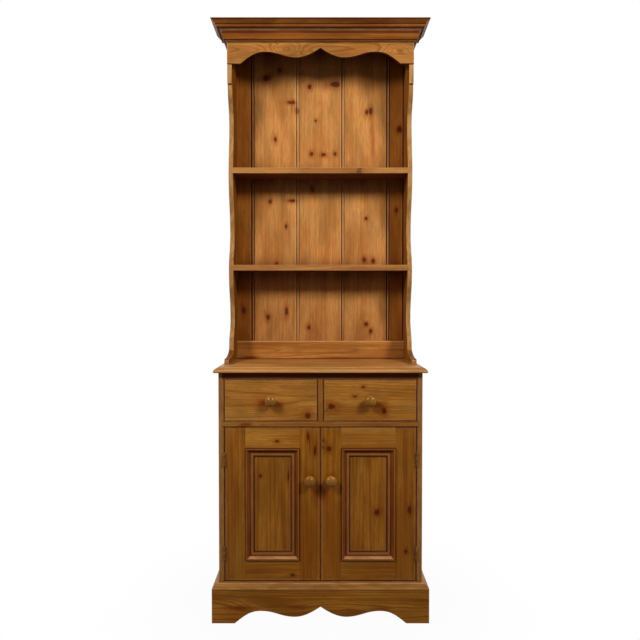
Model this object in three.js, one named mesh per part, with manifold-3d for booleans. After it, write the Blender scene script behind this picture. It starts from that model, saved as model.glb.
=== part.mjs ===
// A pine welsh dresser in two parts: a cupboard base with two drawers and two panelled doors,
// and an open rack above it with shaped sides, two shelves, a boarded back, a frieze and a cornice.
// Millimetres, +Z up, the front faces -Y. The origin is on the floor, under the middle of the whole.
import * as THREE from 'three';
import { mergeVertices } from 'three/addons/utils/BufferGeometryUtils.js';
import Module from 'manifold-3d';

// Whole object. While the pieces are made, y = 0 is the plane of the door and drawer faces.
const carcassWidth = 668;
const carcassDepth = 336;
const worktopHeight = 837;
const overallHeight = 2025;
const rackWidth = 657;
const fit = 0.3; // gap between glued or resting pieces
const overrun = 5; // how far a cutting tool runs past what it cuts
const curveSteps = 10; // straight steps in each curved stretch of an outline

// Base carcass
const sideThickness = 18;
const boardThickness = 18; // floor board, drawer board and the upright between the drawers
const housingDepth = 6; // how far boards are let into the sides
const baseBackThickness = 9;
const baseBackLedge = 9; // how far the back panel is let into the sides
const floorTop = 129;
const topRailHeight = 21;
const topRailDepth = 20;
const drawerOpeningHeight = 139; // from the drawer board up to the top rail

// Worktop and its moulded edge
const worktopThickness = 18;
const worktopFrontOverhang = 19;
const worktopSideOverhang = 15;
const nosingWidth = 15;
const nosingQuirk = 2; // small step above the rounded edge
const nosingLip = 4; // height of the small round under the nose
const nosingLipInset = 4;

// Plinth
const plinthThickness = 21;
const plinthHeight = 127;
const plinthChamfer = 13;
const plinthFootWidth = 75;

// The scalloped line that the plinth and the frieze share
const cuspRise = 55;
const crestRise = 41;
const troughRise = 21.5;
const crestShare = 0.69; // places of crest and trough, as shares of half the scallop's span
const troughShare = 0.3;
const curveHandleShare = 0.4; // length of a curve's handles, as a share of its run
const footSlopeShare = 0.7; // rise of the first handle, as a share of the crest's rise
const cuspHandleShare = 0.24; // width of the last handle, as a share of the trough's place

// Doors
const doorThickness = 20;
const doorGap = 2; // to the sides and to the drawer board
const doorMeetingGap = 1.6;
const doorFloorGap = 3;
const stileWidth = 67;
const railWidth = 67;
const tenonLength = 32;
const tenonThickness = 6;
const tenonShoulder = 11; // wood above and below each tenon
const panelThickness = 6;
const panelInset = 8; // depth of the panel's face behind the door's face
const panelGrooveDepth = 8;
const mouldingWidth = 28;
const mouldingProud = 6;
const mouldingLip = 6; // width of the round along its outer edge
const mouldingBead = 6; // width of the bead along its inner edge
const coveHandleShare = 0.5;

// Drawers
const drawerGap = 1.5;
const drawerFrontThickness = 20;
const drawerBoxThickness = 12;
const drawerBoxHeight = 119;
const drawerBackGap = 17; // behind the drawer box
const drawerLap = 7; // wood left in front of the dovetails
const drawerBottomThickness = 5;
const drawerBottomRise = 8; // drawer bottom above the lower edge of the sides
const drawerGrooveDepth = 6;
const drawerBackDrop = 8; // top of the drawer's back below its sides
const tailCount = 3;
const tailNeckShare = 0.46; // narrow width of a dovetail, as a share of the tail spacing
const tailFlareShare = 0.66; // wide width of a dovetail, as a share of the tail spacing

// Knobs
const knobRadius = 18;
const knobProjection = 34;
const knobNeckRadius = 8.5;
const knobFootRadius = 12;
const knobFootHeight = 3;
const knobNeckHeight = 11;
const knobSpigotRadius = 5;
const knobSpigotLength = 13;
const knobRimShare = 0.5; // place of the widest ring, as a share of the head's height
const knobFaceShare = 0.6; // roundness of the knob's face
const knobSegments = 18;
const doorKnobFromTop = 172;
const doorKnobFromEdge = 34;

// Hinges
const hingeHeight = 45;
const hingeLeafWidth = 18;
const hingeLeafThickness = 1.2;
const hingeRecess = 1.5;
const knuckleRadius = 3.6;
const hingePinRadius = 1.4;
const hingePinOut = 4; // pin's axis in front of the door's face
const hingeClearance = 0.4;
const hingeFromTop = 104; // middle of each hinge from the door's end
const hingeFromBottom = 93;
const knuckleCount = 3;
const roundSegments = 14;

// Rack
const rackSideThickness = 16;
const rackHousingDepth = 5;
const blockDepth = 153; // depth of the sides just under the frieze
const blockStep = 8;
const blockHeight = 68;
const noseDepth = 130; // depth of the sides at the shelves, and of the shelves with the boards
const waistDepth = 92; // depth of the sides between the shelves
const topWaistDepth = 107;
const waistShares = [0.39, 0.41, 0.58]; // height of each waist, as a share of its bay
const waveHandleShare = 0.42;
const noseDrop = 5; // the widest point below each shelf
const toeDepth = 244; // depth of the sides on the worktop
const toeHeight = 18;
const toeRound = 8;
const kneeRise = 51; // top of the bracket above the worktop
const shelfThickness = 20;
const shelfShares = [0.33, 0.66]; // tops of the shelves, as shares of the height from the worktop to the frieze
const rackTopThickness = 18;
const rackTopDrop = 13; // the rack's top board below the top of the cornice
const footRailHeight = 68;
const footRailThickness = 18;
const footRailEdge = 3; // chamfer along its upper front edge

// Matchboarding at the back of the rack
const backBoardThickness = 12;
const backLedge = 8; // how far the boards are let into the sides
const boardPitch = 169.4;
const boardShift = 5; // joints to the right of an even layout
const jointCount = 4;
const beadRadius = 4.5;
const quirkWidth = 2.2;
const quirkDepth = 4;
const boardChamfer = 1.6;
const tongueLength = 5;
const tongueThickness = 4;

// Frieze
const friezeThickness = 12;
const friezeProud = 6; // the frieze in front of the sides below it
const friezeHeight = 124;
const friezeFootWidth = 47;

// Cornice
const corniceHeight = 63;
const corniceProjection = 50;
const corniceReturnGap = 52; // the side returns stop this far short of the back
const fasciaHeight = 14;
const fasciaLean = 15;
const corniceStep = 2.5; // each small step between the members
const corniceBeadHeight = 9;
const coveHeight = 13;
const coveDepth = 15;
const corniceLipWidth = 7;
const corniceLipHeight = 3;
const bellyHandleShare = 0.6;

// Colours and finish
const pine = new THREE.MeshStandardMaterial({ color: 0xa8672c, roughness: 0.5, metalness: 0 });
const palePine = new THREE.MeshStandardMaterial({ color: 0xb5742f, roughness: 0.55, metalness: 0 });
const darkPine = new THREE.MeshStandardMaterial({ color: 0x8a4f20, roughness: 0.5, metalness: 0 });
const rawPine = new THREE.MeshStandardMaterial({ color: 0xc99a62, roughness: 0.75, metalness: 0 });
const plywood = new THREE.MeshStandardMaterial({ color: 0xbf945f, roughness: 0.8, metalness: 0 });
const agedBrass = new THREE.MeshStandardMaterial({ color: 0x6e4a24, roughness: 0.45, metalness: 0.8 });

// Places worked out from the sizes
const carcassHalf = carcassWidth / 2;
const insideHalf = carcassHalf - sideThickness;
const worktopUnderside = worktopHeight - worktopThickness;
const insideBack = carcassDepth - baseBackThickness;
const topRailBottom = worktopUnderside - topRailHeight;
const drawerBoardTop = topRailBottom - drawerOpeningHeight;
const plinthHalf = carcassHalf + plinthThickness;
const rackHalf = rackWidth / 2;
const rackInsideHalf = rackHalf - rackSideThickness;
const boardsFace = carcassDepth - backBoardThickness;
const rackTopHeight = overallHeight - rackTopDrop;
const friezeBottom = rackTopHeight - friezeHeight;
const blockBottom = friezeBottom - blockHeight;
const rackOpening = friezeBottom - worktopHeight;
const [lowerShelfTop, upperShelfTop] = shelfShares.map((share) => worktopHeight + rackOpening * share);
const blockFace = carcassDepth - blockDepth;
const shelfFace = carcassDepth - noseDepth;
const friezeFace = blockFace - friezeProud;
const friezeBack = friezeFace + friezeThickness;
const doorBottom = floorTop + doorFloorGap;
const doorTop = drawerBoardTop - boardThickness - doorGap;
const doorOuter = insideHalf - doorGap;
const doorInner = doorMeetingGap / 2;
const doorKnobHeight = doorTop - doorKnobFromTop;
const hingePinX = insideHalf - doorGap / 2;
const originDepth = (carcassDepth - knobProjection) / 2;

const wasm = await Module();
wasm.setup();

// Solids and cuts

function toSolid(geometry) {
  const bare = geometry.index ? geometry.toNonIndexed() : geometry.clone();
  bare.deleteAttribute('normal');
  bare.deleteAttribute('uv');
  const merged = mergeVertices(bare, 1e-4);
  return new wasm.Manifold(
    new wasm.Mesh({
      numProp: 3,
      vertProperties: new Float32Array(merged.attributes.position.array),
      triVerts: new Uint32Array(merged.index.array),
    }),
  );
}

function toGeometry(solid) {
  const mesh = solid.getMesh();
  const geometry = new THREE.BufferGeometry();
  geometry.setAttribute('position', new THREE.BufferAttribute(mesh.vertProperties, 3));
  geometry.setIndex(new THREE.BufferAttribute(mesh.triVerts, 1));
  return geometry;
}

function cut(geometry, ...tools) {
  return toGeometry(tools.reduce((left, tool) => left.subtract(toSolid(tool)), toSolid(geometry)));
}

function joined(geometry, ...others) {
  return toGeometry(others.reduce((sum, other) => sum.add(toSolid(other)), toSolid(geometry)));
}

function block(xLow, xHigh, yLow, yHigh, zLow, zHigh) {
  const geometry = new THREE.BoxGeometry(xHigh - xLow, yHigh - yLow, zHigh - zLow);
  return geometry.translate((xLow + xHigh) / 2, (yLow + yHigh) / 2, (zLow + zHigh) / 2);
}

function extruded(shape, length) {
  return new THREE.ExtrudeGeometry(shape, { depth: length, bevelEnabled: false, curveSegments: curveSteps });
}

const xAxis = new THREE.Vector3(1, 0, 0);
const yAxis = new THREE.Vector3(0, 1, 0);
const zAxis = new THREE.Vector3(0, 0, 1);

// An outline drawn in (y, z), thickened along x
function thickenedAlongX(shape, xLow, xHigh) {
  const turn = new THREE.Matrix4().makeBasis(yAxis, zAxis, xAxis);
  return extruded(shape, xHigh - xLow).applyMatrix4(turn).translate(xLow, 0, 0);
}

// An outline drawn in (x, z), thickened along y
function thickenedAlongY(shape, yLow, yHigh) {
  const turn = new THREE.Matrix4().makeBasis(xAxis, zAxis, yAxis.clone().negate());
  return extruded(shape, yHigh - yLow).applyMatrix4(turn).translate(0, yHigh, 0);
}

// An outline drawn in (x, y), thickened along z
function thickenedAlongZ(shape, zLow, zHigh) {
  return extruded(shape, zHigh - zLow).translate(0, 0, zLow);
}

function polygon(points) {
  return new THREE.Shape(points.map(([u, v]) => new THREE.Vector2(u, v)));
}

function cylinder(radius, x, y, zLow, zHigh) {
  const geometry = new THREE.CylinderGeometry(radius, radius, zHigh - zLow, roundSegments);
  return geometry.rotateX(Math.PI / 2).translate(x, y, (zLow + zHigh) / 2);
}

// A skin over a row of like rings. It closes on itself, or ends in two caps of the given outline.
function lofted(rings, capOutline) {
  const count = rings[0].length;
  const faces = [];
  const spans = capOutline ? rings.length - 1 : rings.length;
  for (let ring = 0; ring < spans; ring += 1) {
    const here = ring * count;
    const next = ((ring + 1) % rings.length) * count;
    for (let i = 0; i < count; i += 1) {
      const j = (i + 1) % count;
      faces.push([here + i, here + j, next + j], [here + i, next + j, next + i]);
    }
  }
  if (capOutline) {
    const last = (rings.length - 1) * count;
    for (const [a, b, c] of THREE.ShapeUtils.triangulateShape(capOutline, [])) {
      faces.push([c, b, a], [last + a, last + b, last + c]);
    }
  }
  const geometry = new THREE.BufferGeometry();
  const positions = rings.flat().flatMap((point) => point.toArray());
  geometry.setAttribute('position', new THREE.Float32BufferAttribute(positions, 3));
  geometry.setIndex(faces.flat());
  if (toSolid(geometry).volume() < 0) geometry.setIndex(faces.flatMap(([a, b, c]) => [a, c, b]));
  return geometry;
}

// Every piece is made where it stands. A left-hand piece is its right-hand twin in a mirrored group.
const dresser = new THREE.Group();
dresser.position.y = -originDepth;
const hands = { left: new THREE.Group(), right: new THREE.Group() };
hands.left.scale.x = -1;
dresser.add(hands.left, hands.right);

function place(group, name, geometry, material) {
  const mesh = new THREE.Mesh(geometry, material);
  mesh.name = name;
  group.add(mesh);
}

// The scalloped lower edge, drawn from left to right between two feet that stand on z = base
function scallop(shape, halfSpan, base) {
  const crestX = halfSpan * crestShare;
  const troughX = halfSpan * troughShare;
  const outer = (halfSpan - crestX) * curveHandleShare;
  const middle = (crestX - troughX) * curveHandleShare;
  const inner = troughX * curveHandleShare;
  const toCusp = troughX * cuspHandleShare;
  const crest = base + crestRise;
  const trough = base + troughRise;
  const cusp = base + cuspRise;
  const cuspHandle = cusp - (cusp - trough) * curveHandleShare;
  const footHandle = base + crestRise * footSlopeShare;
  shape.lineTo(-halfSpan, base);
  shape.bezierCurveTo(-halfSpan + outer, footHandle, -crestX - outer, crest, -crestX, crest);
  shape.bezierCurveTo(-crestX + middle, crest, -troughX - middle, trough, -troughX, trough);
  shape.bezierCurveTo(-troughX + inner, trough, -toCusp, cuspHandle, 0, cusp);
  shape.bezierCurveTo(toCusp, cuspHandle, troughX - inner, trough, troughX, trough);
  shape.bezierCurveTo(troughX + middle, trough, crestX - middle, crest, crestX, crest);
  shape.bezierCurveTo(crestX + outer, crest, halfSpan - outer, footHandle, halfSpan, base);
}

// Base carcass

function hingeHeights() {
  return [doorBottom + hingeFromBottom, doorTop - hingeFromTop];
}

function hingePocket(xLow, xHigh, middle) {
  const half = hingeHeight / 2 + fit;
  return block(xLow, xHigh, -overrun, hingeLeafWidth + fit, middle - half, middle + half);
}

function baseSide() {
  const plan = polygon([
    [insideHalf, 0],
    [carcassHalf, 0],
    [carcassHalf, carcassDepth],
    [insideHalf + baseBackLedge, carcassDepth],
    [insideHalf + baseBackLedge, insideBack],
    [insideHalf, insideBack],
  ]);
  const xLow = insideHalf - overrun;
  const xHigh = insideHalf + housingDepth;
  const housing = (top) =>
    block(xLow, xHigh, -overrun, carcassDepth + overrun, top - boardThickness - fit, top + fit);
  const railEnd = topRailDepth + fit;
  const railHousing = block(xLow, xHigh, -overrun, railEnd, topRailBottom - fit, worktopHeight);
  const pockets = hingeHeights().map((z) => hingePocket(xLow, insideHalf + hingeRecess, z));
  const board = thickenedAlongZ(plan, 0, worktopUnderside - fit);
  return cut(board, housing(floorTop), housing(drawerBoardTop), railHousing, ...pockets);
}

function housedBoard(top) {
  const half = insideHalf + housingDepth - fit;
  return block(-half, half, 0, insideBack - fit, top - boardThickness, top);
}

// Stands between the two drawers and is notched over the top rail
function drawerUpright() {
  const profile = polygon([
    [0, drawerBoardTop + fit],
    [insideBack - fit, drawerBoardTop + fit],
    [insideBack - fit, worktopUnderside - fit],
    [topRailDepth + fit, worktopUnderside - fit],
    [topRailDepth + fit, topRailBottom - fit],
    [0, topRailBottom - fit],
  ]);
  return thickenedAlongX(profile, -boardThickness / 2, boardThickness / 2);
}

function topRail() {
  const half = insideHalf + housingDepth - fit;
  return block(-half, half, 0, topRailDepth, topRailBottom, worktopUnderside - fit);
}

function baseBack() {
  const half = insideHalf + baseBackLedge - fit;
  return block(-half, half, insideBack, carcassDepth, floorTop - boardThickness, worktopUnderside - fit);
}

// The moulded edge runs round the front and both ends, so each level is an oblong inside the one at the nose.
function worktop() {
  const roundHeight = worktopThickness - nosingQuirk - nosingLip;
  const levels = [];
  for (let i = 0; i < curveSteps / 2; i += 1) {
    const angle = (Math.PI * i) / curveSteps;
    levels.push([nosingLipInset * (1 - Math.sin(angle)), nosingLip * (1 - Math.cos(angle))]);
  }
  for (let i = 0; i <= curveSteps; i += 1) {
    const angle = (Math.PI / 2) * (i / curveSteps);
    levels.push([nosingWidth * (1 - Math.cos(angle)), nosingLip + roundHeight * Math.sin(angle)]);
  }
  levels.push([nosingWidth, worktopThickness]);
  const half = carcassHalf + worktopSideOverhang;
  const rings = levels.map(([inset, rise]) => {
    const z = worktopUnderside + rise;
    const front = inset - worktopFrontOverhang;
    return [
      new THREE.Vector3(inset - half, front, z),
      new THREE.Vector3(half - inset, front, z),
      new THREE.Vector3(half - inset, carcassDepth, z),
      new THREE.Vector3(inset - half, carcassDepth, z),
    ];
  });
  return lofted(rings, rings[0].map((corner) => new THREE.Vector2(corner.x, corner.y)));
}

// Plinth

// A prism that takes away all that lies past the 45 degree mitre of an outer corner.
// Side 1 leaves the return along the depth, side -1 leaves the front board.
function mitreTool(cornerX, cornerY, size, height, side) {
  const reach = size + overrun;
  const shift = (side * fit) / 2;
  const away = side > 0 ? [cornerX - reach, cornerY - overrun] : [cornerX + overrun, cornerY + reach];
  const plan = polygon([
    [cornerX + overrun, cornerY - overrun + shift],
    [cornerX - reach, cornerY + reach + shift],
    away,
  ]);
  return thickenedAlongZ(plan, -overrun, height + overrun);
}

// The chamfered edge at the top, as a long wedge in front of the board
function plinthWedge() {
  const face = -plinthThickness;
  const wedge = polygon([
    [face - overrun, plinthHeight - plinthChamfer - overrun],
    [face + plinthChamfer + overrun, plinthHeight + overrun],
    [face - overrun, plinthHeight + overrun],
  ]);
  return thickenedAlongX(wedge, -plinthHalf - overrun, plinthHalf + overrun);
}

function plinthFront() {
  const shape = new THREE.Shape();
  shape.moveTo(-plinthHalf, plinthHeight);
  shape.lineTo(-plinthHalf, 0);
  scallop(shape, plinthHalf - plinthFootWidth, 0);
  shape.lineTo(plinthHalf, 0);
  shape.lineTo(plinthHalf, plinthHeight);
  const board = thickenedAlongY(shape, -plinthThickness, -fit);
  const mitre = mitreTool(plinthHalf, -plinthThickness, plinthThickness, plinthHeight, -1);
  const [right, left] = [toSolid(mitre), toSolid(mitre).mirror([1, 0, 0])];
  return toGeometry(toSolid(board).subtract(toSolid(plinthWedge())).subtract(right).subtract(left));
}

function plinthReturn() {
  const section = polygon([
    [carcassHalf + fit, 0],
    [plinthHalf, 0],
    [plinthHalf, plinthHeight - plinthChamfer],
    [plinthHalf - plinthChamfer, plinthHeight],
    [carcassHalf + fit, plinthHeight],
  ]);
  const board = thickenedAlongY(section, -plinthThickness, carcassDepth);
  return cut(board, mitreTool(plinthHalf, -plinthThickness, plinthThickness, plinthHeight, 1));
}

place(dresser, 'cabinet_floor', housedBoard(floorTop), pine);
place(dresser, 'drawer_board', housedBoard(drawerBoardTop), pine);
place(dresser, 'drawer_upright', drawerUpright(), pine);
place(dresser, 'top_rail', topRail(), pine);
place(dresser, 'base_back', baseBack(), plywood);
place(dresser, 'worktop', worktop(), palePine);
place(dresser, 'plinth_front', plinthFront(), pine);
for (const [hand, group] of Object.entries(hands)) {
  place(group, `base_side_${hand}`, baseSide(), pine);
  place(group, `plinth_${hand}`, plinthReturn(), pine);
}

// Rack

// The front edge of a side: a toe on the worktop, a cove up to the knee, then three waists between noses
function rackSideOutline() {
  const at = (depth) => carcassDepth - depth;
  const foot = worktopHeight + fit;
  const toeTop = foot + toeHeight;
  const knee = worktopHeight + kneeRise;
  const coveRun = (toeDepth - toeRound - noseDepth) * coveHandleShare;
  const coveRise = (knee - toeTop) * coveHandleShare;
  const shape = new THREE.Shape();
  shape.moveTo(carcassDepth, foot);
  shape.lineTo(at(toeDepth), foot);
  shape.lineTo(at(toeDepth), toeTop - toeRound);
  shape.absarc(at(toeDepth - toeRound), toeTop - toeRound, toeRound, Math.PI, Math.PI / 2, true);
  const kneeY = at(noseDepth);
  shape.bezierCurveTo(at(toeDepth - toeRound) + coveRun, toeTop, kneeY, knee - coveRise, kneeY, knee);
  const bays = [
    [waistDepth, noseDepth, lowerShelfTop - shelfThickness - noseDrop],
    [waistDepth, noseDepth, upperShelfTop - shelfThickness - noseDrop],
    [topWaistDepth, blockDepth - blockStep, blockBottom],
  ];
  let low = knee;
  bays.forEach(([narrowDepth, wideDepth, high], bay) => {
    const waist = low + (high - low) * waistShares[bay];
    const lowerHandle = (waist - low) * waveHandleShare;
    const upperHandle = (high - waist) * waveHandleShare;
    const waistY = at(narrowDepth);
    const upperY = at(wideDepth);
    shape.bezierCurveTo(kneeY, low + lowerHandle, waistY, waist - lowerHandle, waistY, waist);
    shape.bezierCurveTo(waistY, waist + upperHandle, upperY, high - upperHandle, upperY, high);
    low = high;
  });
  shape.lineTo(blockFace, blockBottom);
  shape.lineTo(blockFace, friezeBottom - fit);
  shape.lineTo(friezeBack, friezeBottom - fit);
  shape.lineTo(friezeBack, rackTopHeight);
  shape.lineTo(carcassDepth, rackTopHeight);
  return shape;
}

function rackSide() {
  const xLow = rackInsideHalf - overrun;
  const xHigh = rackInsideHalf + rackHousingDepth;
  const housing = (top, thickness) =>
    block(xLow, xHigh, -overrun, boardsFace + overrun, top - thickness - fit, top + fit);
  const rebate = block(
    xLow,
    rackInsideHalf + backLedge,
    boardsFace - fit,
    carcassDepth + overrun,
    worktopHeight - overrun,
    rackTopHeight + overrun,
  );
  return cut(
    thickenedAlongX(rackSideOutline(), rackInsideHalf, rackHalf),
    housing(lowerShelfTop, shelfThickness),
    housing(upperShelfTop, shelfThickness),
    housing(rackTopHeight, rackTopThickness),
    rebate,
  );
}

function rackShelf(top, thickness, front) {
  const half = rackInsideHalf + rackHousingDepth - fit;
  return block(-half, half, front, boardsFace - fit, top - thickness, top);
}

function footRail() {
  const half = rackInsideHalf - fit;
  const front = boardsFace - fit - footRailThickness;
  const top = worktopHeight + footRailHeight;
  const section = polygon([
    [front, worktopHeight + fit],
    [boardsFace - fit, worktopHeight + fit],
    [boardsFace - fit, top],
    [front + footRailEdge, top],
    [front, top - footRailEdge],
  ]);
  return thickenedAlongX(section, -half, half);
}

// One board of the back, seen from above. Its left edge has the groove, its right edge the bead and the tongue.
function matchBoard(left, right, grooved, tongued) {
  const back = carcassDepth;
  const middle = (boardsFace + back) / 2;
  const tongueFront = middle - tongueThickness / 2;
  const tongueBack = middle + tongueThickness / 2;
  const edge = left + (grooved ? fit : 0);
  const beadLeft = right - 2 * beadRadius;
  const shape = new THREE.Shape();
  shape.moveTo(edge + (grooved ? boardChamfer : 0), boardsFace);
  if (tongued) {
    shape.lineTo(beadLeft - quirkWidth, boardsFace);
    shape.lineTo(beadLeft - quirkWidth / 2, boardsFace + quirkDepth);
    shape.lineTo(beadLeft, boardsFace + beadRadius);
    shape.absarc(right - beadRadius, boardsFace + beadRadius, beadRadius, Math.PI, 2 * Math.PI, false);
    shape.lineTo(right, tongueFront + fit);
    shape.lineTo(right + tongueLength, tongueFront + fit);
    shape.lineTo(right + tongueLength, tongueBack);
    shape.lineTo(right, tongueBack);
  } else {
    shape.lineTo(right, boardsFace);
  }
  shape.lineTo(right, back);
  shape.lineTo(edge, back);
  if (grooved) {
    const grooveEnd = edge + tongueLength + fit;
    shape.lineTo(edge, tongueBack + fit);
    shape.lineTo(grooveEnd, tongueBack + fit);
    shape.lineTo(grooveEnd, tongueFront);
    shape.lineTo(edge, tongueFront);
    shape.lineTo(edge, boardsFace + boardChamfer);
  }
  return thickenedAlongZ(shape, worktopHeight + fit, rackTopHeight);
}

function boardEdges() {
  const half = rackInsideHalf + backLedge - fit;
  const edges = [-half];
  for (let joint = 0; joint < jointCount; joint += 1) {
    edges.push(boardShift + (joint - (jointCount - 1) / 2) * boardPitch);
  }
  edges.push(half);
  return edges;
}

function frieze() {
  const shape = new THREE.Shape();
  shape.moveTo(-rackHalf, rackTopHeight);
  shape.lineTo(-rackHalf, friezeBottom);
  scallop(shape, rackHalf - friezeFootWidth, friezeBottom);
  shape.lineTo(rackHalf, friezeBottom);
  shape.lineTo(rackHalf, rackTopHeight);
  return thickenedAlongY(shape, friezeFace, friezeBack - fit);
}

// The cornice's section, from its lower edge up: how far it stands out, and the height.
// A lip, a belly, a cove, a small square member and a fascia that leans forward.
function corniceSection() {
  const bottom = overallHeight - corniceHeight;
  const fasciaBottom = overallHeight - fasciaHeight;
  const beadBottom = fasciaBottom - corniceBeadHeight;
  const coveBottom = beadBottom - coveHeight;
  const lipTop = bottom + corniceLipHeight;
  const beadOut = corniceProjection - fasciaLean - corniceStep;
  const coveOut = beadOut - corniceStep;
  const bellyOut = coveOut - coveDepth;
  const bellyRise = (coveBottom - lipTop) * bellyHandleShare;
  const path = new THREE.Path();
  path.moveTo(fit, bottom);
  path.lineTo(corniceLipWidth, bottom);
  path.lineTo(corniceLipWidth, lipTop);
  path.bezierCurveTo(bellyOut, lipTop, bellyOut, coveBottom - bellyRise, bellyOut, coveBottom);
  path.bezierCurveTo(
    bellyOut,
    coveBottom + coveHeight * coveHandleShare,
    coveOut - coveDepth * coveHandleShare,
    beadBottom,
    coveOut,
    beadBottom,
  );
  path.lineTo(beadOut, beadBottom);
  path.lineTo(beadOut, fasciaBottom);
  path.lineTo(corniceProjection - fasciaLean, fasciaBottom);
  path.lineTo(corniceProjection, overallHeight);
  path.lineTo(fit, overallHeight);
  return path.getPoints(curveSteps);
}

function corniceFront() {
  const section = corniceSection();
  const end = (sign) =>
    section.map((p) => new THREE.Vector3(sign * (rackHalf + p.x - fit), friezeFace - p.x, p.y));
  return lofted([end(-1), end(1)], section);
}

function corniceReturn() {
  const section = corniceSection();
  const back = carcassDepth - corniceReturnGap;
  const mitred = section.map((p) => new THREE.Vector3(rackHalf + p.x, friezeFace - p.x + fit, p.y));
  const square = section.map((p) => new THREE.Vector3(rackHalf + p.x, back, p.y));
  return lofted([mitred, square], section);
}

place(dresser, 'rack_shelf_lower', rackShelf(lowerShelfTop, shelfThickness, shelfFace), palePine);
place(dresser, 'rack_shelf_upper', rackShelf(upperShelfTop, shelfThickness, shelfFace), palePine);
place(dresser, 'rack_top', rackShelf(rackTopHeight, rackTopThickness, friezeBack), pine);
place(dresser, 'rack_foot_rail', footRail(), palePine);
place(dresser, 'frieze', frieze(), palePine);
place(dresser, 'cornice_front', corniceFront(), darkPine);
boardEdges().slice(1).forEach((right, index) => {
  const board = matchBoard(boardEdges()[index], right, index > 0, index < jointCount);
  place(dresser, `rack_back_board_${index + 1}`, board, palePine);
});
for (const [hand, group] of Object.entries(hands)) {
  place(group, `rack_side_${hand}`, rackSide(), pine);
  place(group, `cornice_${hand}`, corniceReturn(), darkPine);
}

// Knobs

// Turned on a lathe, with a spigot that goes into the wood behind the foot
function knob(x, z) {
  const headHeight = knobProjection - knobNeckHeight;
  const rim = knobNeckHeight + headHeight * knobRimShare;
  const path = new THREE.Path();
  path.moveTo(0, -knobSpigotLength);
  path.lineTo(knobSpigotRadius, -knobSpigotLength);
  path.lineTo(knobSpigotRadius, fit);
  path.lineTo(knobFootRadius, fit);
  path.lineTo(knobFootRadius, knobFootHeight);
  path.quadraticCurveTo(knobNeckRadius, knobFootHeight, knobNeckRadius, knobNeckHeight);
  path.quadraticCurveTo(knobRadius, knobNeckHeight, knobRadius, rim);
  path.bezierCurveTo(
    knobRadius,
    rim + (knobProjection - rim) * knobFaceShare,
    knobRadius * knobFaceShare,
    knobProjection,
    0,
    knobProjection,
  );
  const lathe = new THREE.LatheGeometry(path.getPoints(curveSteps / 2), knobSegments);
  return lathe.rotateX(Math.PI).translate(x, 0, z);
}

function knobHole(x, z) {
  const radius = knobSpigotRadius + fit;
  const length = knobSpigotLength + fit + overrun;
  const geometry = new THREE.CylinderGeometry(radius, radius, length, roundSegments);
  return geometry.translate(x, length / 2 - overrun, z);
}

// Doors

const openingLow = doorBottom + railWidth;
const openingHigh = doorTop - railWidth;
const openingInner = doorInner + stileWidth;
const openingOuter = doorOuter - stileWidth;
const doorKnobX = doorInner + doorKnobFromEdge;
const tenonFront = (doorThickness - tenonThickness) / 2;
const tenonBack = tenonFront + tenonThickness;

function panelSlot(xLow, xHigh, zLow, zHigh) {
  return block(xLow, xHigh, panelInset - fit, panelInset + panelThickness + fit, zLow, zHigh);
}

// A stile lies between two heights of x, and its mortises and groove open towards the panel.
function doorStile(low, high, panelEdge) {
  const inward = panelEdge === high ? -1 : 1;
  const span = (depth) => [panelEdge - inward * overrun, panelEdge + inward * depth].sort((a, b) => a - b);
  const [mortiseLow, mortiseHigh] = span(tenonLength + fit);
  const mortises = [[doorBottom, openingLow], [openingHigh, doorTop]].map(([railLow, railHigh]) =>
    block(
      mortiseLow,
      mortiseHigh,
      tenonFront - fit,
      tenonBack + fit,
      railLow + tenonShoulder - fit,
      railHigh - tenonShoulder + fit,
    ),
  );
  const grooveDepth = panelGrooveDepth + fit;
  const [grooveLow, grooveHigh] = span(grooveDepth);
  const groove = panelSlot(grooveLow, grooveHigh, openingLow - grooveDepth, openingHigh + grooveDepth);
  return cut(block(low, high, 0, doorThickness, doorBottom, doorTop), ...mortises, groove);
}

function hingeStile() {
  const pockets = hingeHeights().map((z) => hingePocket(doorOuter - hingeRecess, doorOuter + overrun, z));
  return cut(doorStile(openingOuter, doorOuter, openingOuter), ...pockets);
}

function lockStile() {
  return cut(doorStile(doorInner, openingInner, openingInner), knobHole(doorKnobX, doorKnobHeight));
}

function doorRail(low, high, panelEdge) {
  const rail = joined(
    block(openingInner + fit, openingOuter - fit, 0, doorThickness, low, high),
    block(
      openingInner - tenonLength,
      openingOuter + tenonLength,
      tenonFront,
      tenonBack,
      low + tenonShoulder,
      high - tenonShoulder,
    ),
  );
  const half = panelGrooveDepth + fit;
  return cut(rail, panelSlot(openingInner, openingOuter, panelEdge - half, panelEdge + half));
}

function doorPanel() {
  return block(
    openingInner - panelGrooveDepth,
    openingOuter + panelGrooveDepth,
    panelInset,
    panelInset + panelThickness,
    openingLow - panelGrooveDepth,
    openingHigh + panelGrooveDepth,
  );
}

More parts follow.
